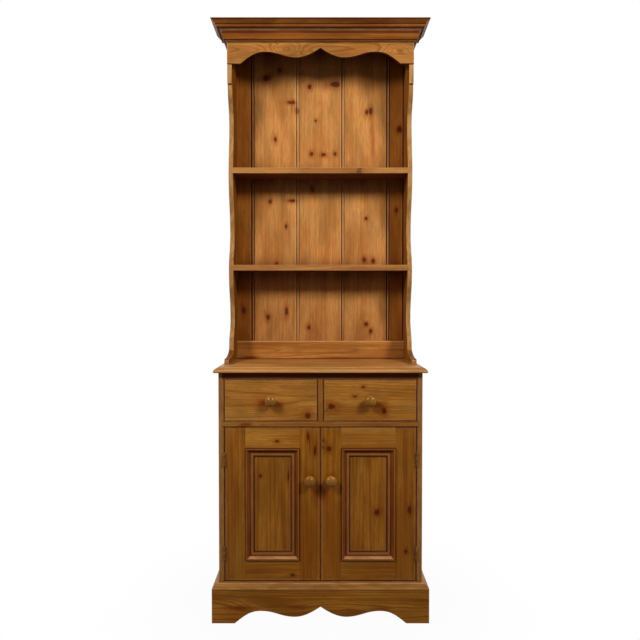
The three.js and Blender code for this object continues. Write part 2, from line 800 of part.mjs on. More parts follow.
// Section of the moulding round the panel: inset from the frame's edge, and height above the door's face.
// A round lip, a cove down towards the panel and a small bead.
function mouldingSection() {
  const seat = fit - panelInset;
  const lipSide = mouldingProud - mouldingLip / 2;
  const beadStart = mouldingWidth - mouldingBead;
  const beadMiddle = mouldingWidth - mouldingBead / 2;
  const beadFoot = seat + mouldingBead / 2;
  const beadTop = seat + mouldingBead;
  const coveRun = (beadStart - mouldingLip) * coveHandleShare;
  const path = new THREE.Path();
  path.moveTo(fit, seat);
  path.lineTo(fit, lipSide);
  path.quadraticCurveTo(fit, mouldingProud, mouldingLip / 2, mouldingProud);
  path.quadraticCurveTo(mouldingLip, mouldingProud, mouldingLip, lipSide);
  path.bezierCurveTo(mouldingLip + coveRun / 2, beadFoot, beadStart - coveRun, beadFoot, beadStart, beadFoot);
  path.quadraticCurveTo(beadStart, beadTop, beadMiddle, beadTop);
  path.quadraticCurveTo(mouldingWidth, beadTop, mouldingWidth, beadFoot);
  path.lineTo(mouldingWidth, seat);
  return path.getPoints(curveSteps / 2);
}

function doorMoulding() {
  const section = mouldingSection();
  const corner = (x, z, towardX, towardZ) =>
    section.map((p) => new THREE.Vector3(x + towardX * p.x, -p.y, z + towardZ * p.x));
  return lofted([
    corner(openingInner, openingLow, 1, 1),
    corner(openingOuter, openingLow, -1, 1),
    corner(openingOuter, openingHigh, -1, -1),
    corner(openingInner, openingHigh, 1, -1),
  ]);
}

// Hinges. The two outer knuckles and the pin belong to the leaf on the cabinet.

const knuckleHeight = hingeHeight / knuckleCount;

function barrel(radius, zLow, zHigh) {
  return cylinder(radius, hingePinX, -hingePinOut, zLow, zHigh);
}

function hingeLeaf(xLow, middle) {
  const half = hingeHeight / 2;
  const back = hingeLeafWidth - fit;
  return block(xLow, xLow + hingeLeafThickness, -hingePinOut, back, middle - half, middle + half);
}

function caseLeaf(middle) {
  const low = middle - hingeHeight / 2;
  const high = middle + hingeHeight / 2;
  const space = barrel(
    knuckleRadius + hingeClearance,
    low + knuckleHeight - hingeClearance,
    high - knuckleHeight + hingeClearance,
  );
  return joined(
    cut(hingeLeaf(insideHalf, middle), space),
    barrel(knuckleRadius, low, low + knuckleHeight - hingeClearance),
    barrel(knuckleRadius, high - knuckleHeight + hingeClearance, high),
    barrel(hingePinRadius, low, high),
  );
}

function doorLeaf(middle) {
  const low = middle - hingeHeight / 2;
  const high = middle + hingeHeight / 2;
  const clear = knuckleRadius + hingeClearance;
  const leaf = cut(
    hingeLeaf(doorOuter - hingeLeafThickness, middle),
    barrel(clear, low - overrun, low + knuckleHeight),
    barrel(clear, high - knuckleHeight, high + overrun),
  );
  const knuckle = barrel(knuckleRadius, low + knuckleHeight, high - knuckleHeight);
  return cut(joined(leaf, knuckle), barrel(hingePinRadius + hingeClearance, low - overrun, high + overrun));
}

for (const [hand, group] of Object.entries(hands)) {
  place(group, `${hand}_door_hinge_stile`, hingeStile(), pine);
  place(group, `${hand}_door_lock_stile`, lockStile(), pine);
  place(group, `${hand}_door_top_rail`, doorRail(openingHigh, doorTop, openingHigh), pine);
  place(group, `${hand}_door_bottom_rail`, doorRail(doorBottom, openingLow, openingLow), pine);
  place(group, `${hand}_door_panel`, doorPanel(), pine);
  place(group, `${hand}_door_moulding`, doorMoulding(), darkPine);
  place(group, `${hand}_door_knob`, knob(doorKnobX, doorKnobHeight), palePine);
  hingeHeights().forEach((middle, index) => {
    const level = index === 0 ? 'lower' : 'upper';
    place(group, `${hand}_${level}_hinge_case_leaf`, caseLeaf(middle), agedBrass);
    place(group, `${hand}_${level}_hinge_door_leaf`, doorLeaf(middle), agedBrass);
  });
}

// Drawers. The box rests on the drawer board, and the front has a gap all round.

const drawerInner = boardThickness / 2 + drawerGap;
const drawerOuter = insideHalf - drawerGap;
const drawerFrontLow = drawerBoardTop + drawerGap;
const drawerFrontHigh = topRailBottom - drawerGap;
const drawerBoxLow = drawerBoardTop + fit;
const drawerBoxHigh = drawerBoxLow + drawerBoxHeight;
const drawerBoxBack = insideBack - drawerBackGap;
const drawerKnobX = (drawerInner + drawerOuter) / 2;
const drawerKnobZ = (drawerFrontLow + drawerFrontHigh) / 2;
const drawerBottomLow = drawerBoxLow + drawerBottomRise;
const drawerBottomHigh = drawerBottomLow + drawerBottomThickness;

// Half-blind dovetails in (y, z). The margin makes them into their sockets.
function tails(margin) {
  const pitch = drawerBoxHeight / tailCount;
  const neck = (pitch * tailNeckShare) / 2 + margin;
  const flare = (pitch * tailFlareShare) / 2 + margin;
  const front = drawerLap + fit - margin;
  return Array.from({ length: tailCount }, (unused, index) => {
    const middle = drawerBoxLow + pitch * (index + 1 / 2);
    return polygon([
      [front, middle - flare],
      [drawerFrontThickness, middle - neck],
      [drawerFrontThickness + overrun, middle - neck],
      [drawerFrontThickness + overrun, middle + neck],
      [drawerFrontThickness, middle + neck],
      [front, middle + flare],
    ]);
  });
}

function drawerFront() {
  const boxInner = drawerInner + drawerBoxThickness + fit;
  const boxOuter = drawerOuter - drawerBoxThickness - fit;
  const sockets = tails(fit).flatMap((tail) => [
    thickenedAlongX(tail, drawerInner - overrun, boxInner),
    thickenedAlongX(tail, boxOuter, drawerOuter + overrun),
  ]);
  const groove = block(
    boxInner - drawerGrooveDepth,
    boxOuter + drawerGrooveDepth,
    drawerFrontThickness - drawerGrooveDepth - fit,
    drawerFrontThickness + overrun,
    drawerBottomLow - fit,
    drawerBottomHigh + fit,
  );
  const front = block(drawerInner, drawerOuter, 0, drawerFrontThickness, drawerFrontLow, drawerFrontHigh);
  return cut(front, ...sockets, groove, knobHole(drawerKnobX, drawerKnobZ));
}

// The groove for the drawer's bottom is on the face that looks into the drawer.
function drawerSide(low, high, grooveLow, grooveHigh) {
  const front = drawerFrontThickness + fit;
  const board = block(low, high, front, drawerBoxBack, drawerBoxLow, drawerBoxHigh);
  const groove = block(
    grooveLow,
    grooveHigh,
    drawerFrontThickness - drawerGrooveDepth - fit,
    drawerBoxBack + overrun,
    drawerBottomLow - fit,
    drawerBottomHigh + fit,
  );
  return cut(joined(board, ...tails(0).map((tail) => thickenedAlongX(tail, low, high))), groove);
}

function drawerInnerSide() {
  const face = drawerInner + drawerBoxThickness;
  return drawerSide(drawerInner, face, face - drawerGrooveDepth, face + overrun);
}

function drawerOuterSide() {
  const face = drawerOuter - drawerBoxThickness;
  return drawerSide(face, drawerOuter, face - overrun, face + drawerGrooveDepth);
}

function drawerBack() {
  const low = drawerInner + drawerBoxThickness + fit;
  const high = drawerOuter - drawerBoxThickness - fit;
  const front = drawerBoxBack - drawerBoxThickness;
  return block(low, high, front, drawerBoxBack, drawerBottomHigh + fit, drawerBoxHigh - drawerBackDrop);
}

function drawerBottom() {
  const letIn = drawerGrooveDepth - fit;
  const low = drawerInner + drawerBoxThickness - letIn;
  const high = drawerOuter - drawerBoxThickness + letIn;
  return block(low, high, drawerFrontThickness - letIn, drawerBoxBack, drawerBottomLow, drawerBottomHigh);
}

for (const [hand, group] of Object.entries(hands)) {
  place(group, `${hand}_drawer_front`, drawerFront(), pine);
  place(group, `${hand}_drawer_inner_side`, drawerInnerSide(), rawPine);
  place(group, `${hand}_drawer_outer_side`, drawerOuterSide(), rawPine);
  place(group, `${hand}_drawer_back`, drawerBack(), rawPine);
  place(group, `${hand}_drawer_bottom`, drawerBottom(), plywood);
  place(group, `${hand}_drawer_knob`, knob(drawerKnobX, drawerKnobZ), palePine);
}

export default dresser;
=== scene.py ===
import math
import random
from operator import mul

import bmesh
import bpy
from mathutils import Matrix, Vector
from mathutils.bvhtree import BVHTree


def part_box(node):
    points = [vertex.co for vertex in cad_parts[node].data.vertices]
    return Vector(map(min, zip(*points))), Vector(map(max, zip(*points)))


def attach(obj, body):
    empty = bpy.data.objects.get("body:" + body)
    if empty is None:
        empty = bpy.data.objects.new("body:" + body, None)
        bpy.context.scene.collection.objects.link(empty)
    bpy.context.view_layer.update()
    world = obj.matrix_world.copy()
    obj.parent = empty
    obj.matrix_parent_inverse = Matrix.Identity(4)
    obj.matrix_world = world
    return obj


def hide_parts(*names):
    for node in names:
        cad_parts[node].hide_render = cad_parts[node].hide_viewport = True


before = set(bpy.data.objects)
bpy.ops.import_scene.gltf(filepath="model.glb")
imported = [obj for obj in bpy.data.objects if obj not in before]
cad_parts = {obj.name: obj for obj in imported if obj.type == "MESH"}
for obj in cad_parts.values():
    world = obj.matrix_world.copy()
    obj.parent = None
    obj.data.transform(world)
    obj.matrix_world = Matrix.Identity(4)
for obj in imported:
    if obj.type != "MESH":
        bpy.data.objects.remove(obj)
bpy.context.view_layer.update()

# Camera. The eye of somebody who stands two metres in front of the plinth, at half the dresser's height.
# It looks very slightly down, and the picture is square.
eye_height = 1.041
eye_from_plinth = 2.016
eye_right = -0.0016
look_down = math.radians(1.4)
focal_share = 624.8 / 640  # focal length as a share of the picture's width

camera_data = bpy.data.cameras.new("camera")
camera_data.sensor_width = 36
camera_data.lens = camera_data.sensor_width * focal_share
camera = bpy.data.objects.new("camera", camera_data)
camera.location = (eye_right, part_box("plinth_front")[0].y - eye_from_plinth, eye_height)
camera.rotation_euler = (math.pi / 2 - look_down, 0, 0)
bpy.context.scene.collection.objects.link(camera)
bpy.context.scene.camera = camera


# Studio. A wide pale floor in front of a white background. Two soft boxes stand high to the left and right
# of the viewer, so that each knob throws two soft shadows, and two weaker ones light the back.
floor_reach = 6
floor_grey = (160, 160, 160)
floor_white = 0.97  # share of plain white that the eye sees in the floor, the rest takes the shadow
floor_near = 0.35
floor_far = 0.9  # from here on the floor is all white to the eye
softbox_size = (0.62, 0.62)
softbox_right = 1.75
softbox_front = 1.75
softbox_height = 2.55
softbox_watts = 51
back_softbox_watts = 24
softbox_aim = (0, 0, 1.15)
sky_strength = 0.05


class Signal:
    """A value on its way through a node tree. Sums on it add Math nodes, node() adds any other kind."""

    def __init__(self, tree, socket=None):
        self.tree = tree
        self.socket = socket

    def node(self, kind, settings=None, values=None, output=0):
        """A new node in the same tree. A list of values links each of them to the same input."""
        made = self.tree.nodes.new(kind)
        for name, setting in (settings or {}).items():
            setattr(made, name, setting)
        for name, value in (values or {}).items():
            for part in value if isinstance(value, list) else [value]:
                if isinstance(part, Signal):
                    self.tree.links.new(part.socket, made.inputs[name])
                else:
                    made.inputs[name].default_value = part
        return Signal(self.tree, made.outputs[output] if made.outputs else None)

    def output(self, name):
        """Another output of the node that this value comes from."""
        return Signal(self.tree, self.socket.node.outputs[name])

    def maths(self, operation, *numbers):
        return self.node("ShaderNodeMath", {"operation": operation}, dict(enumerate(numbers)))

    def through(self, operation):
        """What a Math operation makes of this value alone."""
        return self.maths(operation, self)

    def __add__(self, other):
        return self.maths("ADD", self, other)

    def __sub__(self, other):
        return self.maths("SUBTRACT", self, other)

    def __mul__(self, other):
        return self.maths("MULTIPLY", self, other)

    def __truediv__(self, other):
        return self.maths("DIVIDE", self, other)

    def __rsub__(self, other):
        return self.maths("SUBTRACT", other, self)

    __radd__ = __add__
    __rmul__ = __mul__

    def rise(self, low, high):
        """0 below low and 1 above high, with a smooth climb between them."""
        values = {"Value": self, "From Min": low, "From Max": high}
        return self.node("ShaderNodeMapRange", {"interpolation_type": "SMOOTHSTEP"}, values)

    def mixed(self, below, above, blend="MIX"):
        """Two colours mixed by this number."""
        settings = {"data_type": "RGBA", "blend_type": blend}
        return self.node("ShaderNodeMix", settings, {0: self, 6: below, 7: above}, output=2)


def greatest(value, *others):
    for other in others:
        value = value.maths("MAXIMUM", value, other)
    return value


def colour(red, green, blue):
    """A colour read off a swatch, each part from 0 to 255, as the linear values that light works in."""
    shares = [part / 255 for part in (red, green, blue)]
    linear = [v / 12.92 if v <= 0.04045 else ((v + 0.055) / 1.055) ** 2.4 for v in shares]
    return (*linear, 1)


def new_material(name):
    """An empty material and the start of its node tree."""
    material = bpy.data.materials.new(name)
    material.use_nodes = True
    material.node_tree.nodes.clear()
    return material, Signal(material.node_tree)


def seen_rays(start):
    """1 for the eye, and for what polished metal and glass reflect or show."""
    path = start.node("ShaderNodeLightPath", output="Is Camera Ray")
    return greatest(path, path.output("Is Glossy Ray"), path.output("Is Transmission Ray"))


def studio_floor():
    """White to the eye, but it takes a soft shadow and lights the wood no more than a grey would."""
    material, start = new_material("studio_floor")
    paint = start.node("ShaderNodeBsdfDiffuse", values={"Color": colour(*floor_grey)})
    white = start.node("ShaderNodeEmission", values={"Strength": 1})
    place = start.node("ShaderNodeTexCoord", output="Object")
    distance = place.node("ShaderNodeVectorMath", {"operation": "LENGTH"}, {0: place}, output="Value")
    share = distance.rise(floor_near, floor_far) * (1 - floor_white) + floor_white
    seen = start.node("ShaderNodeMixShader", values={0: seen_rays(start) * share, 1: paint, 2: white})
    start.node("ShaderNodeOutputMaterial", values={"Surface": seen})
    mesh = bpy.data.meshes.new("studio_floor")
    corners = [(-1, -1), (1, -1), (1, 1), (-1, 1)]
    mesh.from_pydata([(x * floor_reach, y * floor_reach, 0) for x, y in corners], [], [(0, 1, 2, 3)])
    mesh.materials.append(material)
    floor = bpy.data.objects.new("studio_floor", mesh)
    bpy.context.scene.collection.objects.link(floor)


def softbox(side, front, watts):
    light = bpy.data.lights.new("softbox", "AREA")
    light.shape = "RECTANGLE"
    light.size, light.size_y = softbox_size
    light.energy = watts
    lamp = bpy.data.objects.new("softbox", light)
    lamp.location = (side * softbox_right, front * softbox_front, softbox_height)
    away = lamp.location - Vector(softbox_aim)
    lamp.rotation_euler = away.to_track_quat("Z", "Y").to_euler()
    lamp.visible_camera = False
    bpy.context.scene.collection.objects.link(lamp)


def white_background():
    """White to the eye and nearly dark to all else, so that the soft boxes alone light the wood."""
    world = bpy.data.worlds.new("studio")
    world.use_nodes = True
    world.node_tree.nodes.clear()
    start = Signal(world.node_tree)
    glow = seen_rays(start) * (1 - sky_strength) + sky_strength
    sky = start.node("ShaderNodeBackground", values={"Color": (1, 1, 1, 1), "Strength": glow})
    start.node("ShaderNodeOutputWorld", values={"Surface": sky})
    bpy.context.scene.world = world


bpy.context.scene.view_settings.view_transform = "Standard"
studio_floor()
for side in (-1, 1):
    softbox(side, -1, softbox_watts)
    softbox(side, 1, back_softbox_watts)
white_background()


# Carcass sides. Two planed pine boards that stand on the floor and carry everything in the base. They are
# housed for the boards between them, recessed for the hinges, and waxed a deep honey brown.
side_honey = (146, 91, 26)
arris_radius = 0.0011
arris_least = math.radians(40)
arris_most = math.radians(120)
arris_probe = 0.0012  # how far outside an arris its surroundings are felt
arris_clear = 0.0009  # an arris with another piece nearer than this is inside a joint
arris_shares = (0.1, 0.3, 0.5, 0.7, 0.9)  # places along an arris where that is tried
weld_distance = 1e-5
flat_angle = math.radians(0.4)  # an edge flatter than this is taken out
smooth_cosine = math.cos(math.radians(34))
faint = 1e-9  # extra weight of a corner's own face, so that the sum always has a direction

graph = bpy.context.evaluated_depsgraph_get()
solids = {name: BVHTree.FromObject(node, graph) for name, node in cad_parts.items()}


def is_open_arris(edge, name):
    """True for an outer corner that hands and dusters reach, which is therefore worn round."""
    if not edge.is_manifold or not edge.is_convex:
        return False
    if not arris_least < edge.calc_face_angle() < arris_most:
        return False
    outward = (edge.link_faces[0].normal + edge.link_faces[1].normal).normalized() * arris_probe
    first, last = (vertex.co for vertex in edge.verts)
    felt = [first.lerp(last, share) + outward for share in arris_shares]
    others = [solid for other, solid in solids.items() if other != name]
    free = [point for point in felt if all(s.find_nearest(point, arris_clear)[0] is None for s in others)]
    return len(free) * 2 > len(felt)


def weigh_normals(mesh):
    """Each corner's normal leans to the widest faces round it, so that flat boards look flat."""
    fans = [[] for vertex in mesh.vertices]
    for face in mesh.polygons:
        for vertex in face.vertices:
            fans[vertex].append((face.normal.copy(), face.area))
    normals = []
    for face in mesh.polygons:
        for vertex in face.vertices:
            near = [
                normal * area for normal, area in fans[vertex] if normal.dot(face.normal) > smooth_cosine
            ]
            normals.append(sum(near, face.normal * faint).normalized())
    mesh.normals_split_custom_set(normals)


def add_piece(mesh, body, slot, material, *nodes):
    """A finished mesh becomes a piece that rides on its body and stands for its CAD nodes."""
    mesh.materials.clear()
    mesh.materials.append(material)
    weigh_normals(mesh)
    piece = bpy.data.objects.new(mesh.name, mesh)
    bpy.context.scene.collection.objects.link(piece)
    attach(piece, body)
    if nodes:
        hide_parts(*nodes)
    return piece


def softened(name):
    """A copy of a CAD board with its open arrises worn round."""
    mesh = bpy.data.meshes.new(name + "_finished")
    shape = bmesh.new()
    shape.from_mesh(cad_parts[name].data)
    bmesh.ops.remove_doubles(shape, verts=shape.verts, dist=weld_distance)
    bmesh.ops.dissolve_limit(shape, angle_limit=flat_angle, verts=shape.verts, edges=shape.edges)
    worn = [edge for edge in shape.edges if is_open_arris(edge, name)]
    mark = shape.faces.layers.float.new("worn arris")
    bevel = bmesh.ops.bevel(shape, geom=worn, offset=arris_radius, segments=2, profile=0.5, affect="EDGES")
    for face in bevel["faces"]:
        face[mark] = 1
    for face in shape.faces:
        face.smooth = True
    shape.to_mesh(mesh)
    shape.free()
    return mesh


X, Y, Z = range(3)  # to the right, to the back and up
# The tones of the wood's parts, as shares of the plain wood's red, green and blue.
wood_shares = {
    "early": (1, 1, 1),
    "late": (0.52, 0.38, 0.26),
    "streak": (0.6, 0.46, 0.34),
    "knot": (0.13, 0.05, 0.04),
    "stain": (0.42, 0.2, 0.1),
}
# What the wood is multiplied by: clouds, cool patches, end grain, and painted shade on faces turned down.
wood_tints = {
    "clouds": (0.6, 0.47, 0.34, 1),
    "patches": (0.8, 0.89, 0.98, 1),
    "end grain": (0.55, 0.46, 0.4, 1),
    "under": (0.3, 0.18, 0.12, 1),
}
worn_pale = (208, 168, 120)  # rubbed-off wax and painted highlights take the wood half way to this
old_wax = (78, 26, 12)
wax_sheen = 0.12
wax_tint = colour(255, 226, 176)
# The noises in the wood: size along the grain, size across it, step of its seed, detail.
wood_noises = {
    "drift": (0.9, 0.3, 0, 2),
    "fibres": (0.035, 0.0011, 3, 3),
    "wobble": (0.05, 0.012, 5, 2),
    "bands": (0.4, 0.008, 7, 4),
    "clouds": (0.22, 0.06, 9, 3),
    "waver": (0.16, 0.03, 11, 2),
    "patches": (0.11, 0.05, 13, 2),
    "flecks": (0.007, 0.0022, 17, 1),
}
# The values between which each of them rises from unseen to plain to see.
wood_windows = {
    "fibres": (0.42, 0.68),
    "wobble": (0.38, 0.62),
    "bands": (0.44, 0.66),
    "clouds": (0.38, 0.64),
    "patches": (0.42, 0.62),
    "flecks": (0.7, 0.8),
}
# How squarely a face looks that way before it counts as one, and when it fully does.
facing_windows = {"side": (0.5, 0.9), "top": (0.4, 0.8), "end grain": (0.6, 0.95), "under": (0.2, 0.8)}
# How far each mark goes over to its own tone.
mark_shares = {
    "clouds": 0.65,
    "patches": 0.8,
    "fibres": 0.6,
    "flecks": 0.55,
    "halo": 0.55,
    "core": 0.9,
    "rim": 0.4,
    "arris": 0.8,
    "end grain": 0.7,
}
ring_drift = 0.06  # how far the heart wanders along the log
ring_waver = 0.006
ring_unevenness = 2.2  # in rings
ring_pace = 70  # changes of ring width in a metre of radius
ring_slope = 0.014  # how far the rings lean away from the board's length
late_rise = (0.45, 0.88)  # where in a ring the late wood sets in
late_end = (0.92, 1)
stain_unrest = 2  # how much the wobble of the wood frays the outline of a stain
knot_push = 1.3  # how far a knot pushes the rings aside, as a share of its half width
knot_push_fade = 0.16
knot_unrest = 1.3  # how much it frays that of a knot
knot_least = 0.15
knot_core = (0.5, 1.2)  # in radii of the knot, as are the next two
knot_rim = (0.8, 0.3)
knot_halo = (0.8, 3.2)
edge_worn = (0.0006, 0.0034)  # an edge is worn all through up to the first, and not beyond the second
wear_unrest = 0.6
wear_least = 0.7
lines_fade = 0.5  # how much squarer to the front a face has to be before its lines show in full
dullness_unrest = 0.16
wax_roughness = 0.12
late_polish = 0.05
relief_shares = {"late": 0.35, "fibres": 0.5, "wobble": 0.15}
wood_relief = (0.3, 0.0005)  # strength of the bump and its depth
seed_shares = (1, 1.7, 2.3)  # how far a seed moves a noise along each axis
seed_count = 97


def drawn_out(place, grain, length, width, seed, detail=2):
    """Noise drawn out along the grain, in features about this long and this wide."""
    stretch = [1 / width] * 3
    stretch[grain] = 1 / length
    start = tuple(seed * share for share in seed_shares)
    values = {"Vector": place, "Location": start, "Scale": tuple(stretch)}
    moved = place.node("ShaderNodeMapping", values=values)
    return moved.node("ShaderNodeTexNoise", values={"Vector": moved, "Scale": 1, "Detail": detail})


def fading(square):
    """1 in the middle of a spot, falling to nothing outside it. It takes the squared distance."""
    return (square * -1).through("EXPONENT")


def around(where, middle, spread):
    """1 at the middle, falling to nothing a few spreads away."""
    steps = (where - middle) / spread
    return fading(steps * steps)


class Board:
    """Where a point lies in a piece of wood, which way the piece faces there, and its noises."""

    def __init__(self, start, low, high, grain, seed, attribute):
        self.start = start
        self.grain = grain
        self.seed = seed
        self.noises = {}
        if attribute:
            self.place = start.node("ShaderNodeAttribute", {"attribute_name": attribute}, output="Vector")
        else:
            self.place = start.node("ShaderNodeTexCoord", output="Object")
        self.axes = self.parts(self.place)
        self.facing = self.parts(start.node("ShaderNodeTexCoord", output="Normal"))
        self.sizes = [high[axis] - low[axis] for axis in (X, Y, Z)]
        self.middles = [(high[axis] + low[axis]) / 2 for axis in (X, Y, Z)]
        sides = [axis for axis in (X, Y, Z) if axis != grain]
        self.deep, self.across = sorted(sides, key=lambda axis: self.sizes[axis])

    def parts(self, whole):
        split = self.start.node("ShaderNodeSeparateXYZ", values={0: whole})
        return [split.output(axis) for axis in (X, Y, Z)]

    def off_middle(self, axis):
        return self.axes[axis] - self.middles[axis]

    def noise(self, name):
        """One of the wood's noises, drawn out along this board's grain."""
        if name not in self.noises:
            length, width, step, detail = wood_noises[name]
            noise = drawn_out(self.place, self.grain, length, width, self.seed + step, detail)
            self.noises[name] = noise
        return self.noises[name]

    def marks(self, name):
        """The same noise where it stands out."""
        return self.noise(name).rise(*wood_windows[name])

    def spot(self, along_place, aside_place, half_length, half_width, aside_axis=None):
        """The squared distance from the middle of an oval spot, 1 on its outline."""
        aside_axis = self.across if aside_axis is None else aside_axis
        along = (self.axes[self.grain] - along_place) / half_length
        aside = (self.axes[aside_axis] - aside_place) / half_width
        return along * along + aside * aside

    def lined(self, lines_face):
        """1 where the lines of wax, wear, painted shade and highlight show: on front faces, or everywhere.
        """
        if lines_face is None:
            return 1
        return (self.facing[Y] * -1).rise(lines_face, lines_face + lines_fade)


def wood_tones(honey):
    """The tones of the wood's parts, from the colour of the plain wood."""
    plain = colour(*honey)
    tones = {part: (*map(mul, plain, shares), 1) for part, shares in wood_shares.items()}
    tones["wax"] = colour(*old_wax)
    tones["worn"] = tuple((own + pale) / 2 for own, pale in zip(plain, colour(*worn_pale)))
    return tones


def knot_marks(board, knots):
    """How far each knot pushes the rings aside, and where its core, its rim and its halo lie."""
    marks = {"push": [], "core": [], "rim": [], "halo": []}
    for spot in knots:
        square = board.spot(*spot)
        marks["push"].append(fading(square * knot_push_fade) * spot[-1] * knot_push)
        reach = square.through("SQRT") * (board.noise("wobble") * knot_unrest + knot_least)
        marks["core"].append(1 - reach.rise(*knot_core))
        marks["rim"].append(around(reach, *knot_rim))
        marks["halo"].append(1 - reach.rise(*knot_halo))
    return marks


def late_wood(board, heart, ring, pushes):
    """Where the dark late wood of the growth rings shows, round a heart off the board's middle."""
    drift = (board.noise("drift") - 0.5) * ring_drift
    aside = board.off_middle(board.across) - heart[0] + drift
    depth = board.off_middle(board.deep) - heart[1]
    radius = (aside * aside + depth * depth).through("SQRT")
    radius = radius + board.off_middle(board.grain) * ring_slope
    radius = radius + (board.noise("waver") - 0.5) * ring_waver
    for push in pushes:
        radius = radius + push
    one_way = {"noise_dimensions": "1D"}
    values = {"W": radius * ring_pace + board.seed, "Scale": 1}
    uneven = radius.node("ShaderNodeTexNoise", one_way, values)
    rings = radius / ring + uneven * ring_unevenness
    within = rings.through("FRACT")
    strong = rings.node("ShaderNodeTexWhiteNoise", one_way, {"W": rings.through("FLOOR") + board.seed})
    return within.rise(*late_rise) * (1 - within.rise(*late_end)) * (strong * 0.5 + 0.5)


def worn_and_highlighted_wood(board, lines, lined, edge_wear, top_wear):
    """Rubbed-off wax at edges and arrises, painted highlight on upper faces, and both along the lines."""
    wear = board.facing[board.across].through("ABSOLUTE").rise(*facing_windows["side"])
    for axis in (board.across, board.grain):
        room = board.sizes[axis] / 2 - board.off_middle(axis).through("ABSOLUTE")
        wear = greatest(wear, 1 - room.rise(*edge_worn))
    arris = wear.node("ShaderNodeAttribute", {"attribute_name": "worn arris"}, output="Fac")
    wear = greatest(wear * edge_wear, arris * mark_shares["arris"])
    if top_wear:
        wear = greatest(wear, board.facing[Z].rise(*facing_windows["top"]) * top_wear)
    for axis, line, spread, strength in lines:
        wear = greatest(wear, around(board.axes[axis], line, spread) * strength * lined)
    return wear * (board.marks("wobble") * wear_unrest + wear_least)


def gathered_wax_and_shade(board, lines, lined):
    """Old wax and painted shade along these lines, more in some places than in others."""
    clouds = board.noise("clouds")
    wax = clouds * 0
    for axis, line, spread, strength in lines:
        wax = greatest(wax, around(board.axes[axis], line, spread) * strength)
    return wax * (clouds + 0.5) * lined


def finish_material(start, base, roughness, relief, polish):
    """The end of a material's tree. The relief is a bump's strength, depth in metres and height."""
    bump = start.node("ShaderNodeBump", values=dict(zip(("Strength", "Distance", "Height"), relief)))
    values = {"Base Color": base, "Roughness": roughness, "Normal": bump, **polish}
    surface = start.node("ShaderNodeBsdfPrincipled", values=values)
    start.node("ShaderNodeOutputMaterial", values={"Surface": surface})


def bare_wood(board, late, tones, streaks):
    """The colour of the planed wood, before time and hands: rings, streaks, clouds and fibres."""
    wood = late.mixed(tones["early"], tones["late"])
    wood = (board.marks("bands") * streaks).mixed(wood, tones["streak"])
    for mark in ("clouds", "patches"):
        wood = (board.marks(mark) * mark_shares[mark]).mixed(wood, wood_tints[mark], "MULTIPLY")
    return (board.marks("fibres") * mark_shares["fibres"]).mixed(wood, tones["late"])


def stained_and_knotty(board, wood, tones, marks, stains, stain_axis, lined):
    """The wood with its stains, its flecks and, on top of them, its knots."""
    for *spot, darkness in stains:
        reach = board.spot(*spot, stain_axis) * (board.noise("wobble") * stain_unrest)
        wood = (fading(reach) * lined * darkness).mixed(wood, tones["stain"])
    wood = (board.marks("flecks") * mark_shares["flecks"]).mixed(wood, tones["knot"])
    if marks["core"]:
        for mark, tone in (("halo", "stain"), ("core", "knot"), ("rim", "wax")):
            wood = (greatest(*marks[mark]) * mark_shares[mark]).mixed(wood, tones[tone])
    return wood


def darkened_faces(board, wood, underside_shade):
    """Sawn ends drink more wax, and faces turned to the floor are darkened as painted shade."""
    end_grain = board.facing[board.grain].through("ABSOLUTE").rise(*facing_windows["end grain"])
    wood = (end_grain * mark_shares["end grain"]).mixed(wood, wood_tints["end grain"], "MULTIPLY")
    under = (board.facing[Z] * -1).rise(*facing_windows["under"])
    return (under * underside_shade).mixed(wood, wood_tints["under"], "MULTIPLY")


def pine(name, low, high, grain, honey, heart, seed, knots=(), ovals=(), stains=(), stain_axis=None,
         wax_lines=(), wear_and_highlight_lines=(), lines_face=None, ring=0.0042, dullness=0.46, sheen=wax_sheen,
         streaks=0.8, figure=0.7, edge_wear=0.4, top_wear=0, underside_shade=0.9, attribute=None):
    """Pine sawn from a log, with growth rings, knots, fibres and old wax.

    A knot is a spot: place along the grain, place across it, half length, half width. An oval is a spot
    with the height to which it lifts the rings, and a stain is a spot with its darkness. A line is the
    axis that it is measured along, its place there, its spread and its strength.
    """
    material, start = new_material(name)
    board = Board(start, low, high, grain, seed, attribute)
    tones = wood_tones(honey)
    marks = knot_marks(board, knots)
    lifts = [fading(board.spot(*spot)) * lift for *spot, lift in ovals]
    late = late_wood(board, heart, ring, marks["push"] + lifts) * figure
    lined = board.lined(lines_face)

    wood = bare_wood(board, late, tones, streaks)
    wood = stained_and_knotty(board, wood, tones, marks, stains, stain_axis, lined)
    # Rubbed wax and painted highlights lighten the wood; gathered wax and painted shade darken it.
    wood = worn_and_highlighted_wood(board, wear_and_highlight_lines, lined, edge_wear, top_wear).mixed(wood, tones["worn"])
    wax = gathered_wax_and_shade(board, wax_lines, lined)
    wood = wax.maths("MINIMUM", wax, 1).mixed(wood, tones["wax"])
    wood = darkened_faces(board, wood, underside_shade)

    roughness = board.noise("clouds") * dullness_unrest + (dullness - dullness_unrest / 2)
    roughness = roughness + wax * wax_roughness - late * late_polish
    height = late * relief_shares["late"]
    for mark in ("fibres", "wobble"):
        height = height + board.noise(mark) * relief_shares[mark]
    polish = {"Specular IOR Level": sheen, "Specular Tint": wax_tint}
    finish_material(start, wood, roughness, (*wood_relief, height), polish)
    return material


cathedral_aside = (-0.03, 0.03)  # a board sawn near the heart shows cathedral figure
cathedral_depth = (0.035, 0.06)
straight_aside = (0.16, 0.24)
straight_depth = (0.07, 0.13)


def heart_of(sawn, seed):
    """Where the log's heart lies from the middle of the board's face: across it and behind it."""
    dice = random.Random(seed)
    if sawn == "cathedral":
        return (dice.uniform(*cathedral_aside), dice.uniform(*cathedral_depth))
    return (dice.choice((-1, 1)) * dice.uniform(*straight_aside), dice.uniform(*straight_depth))


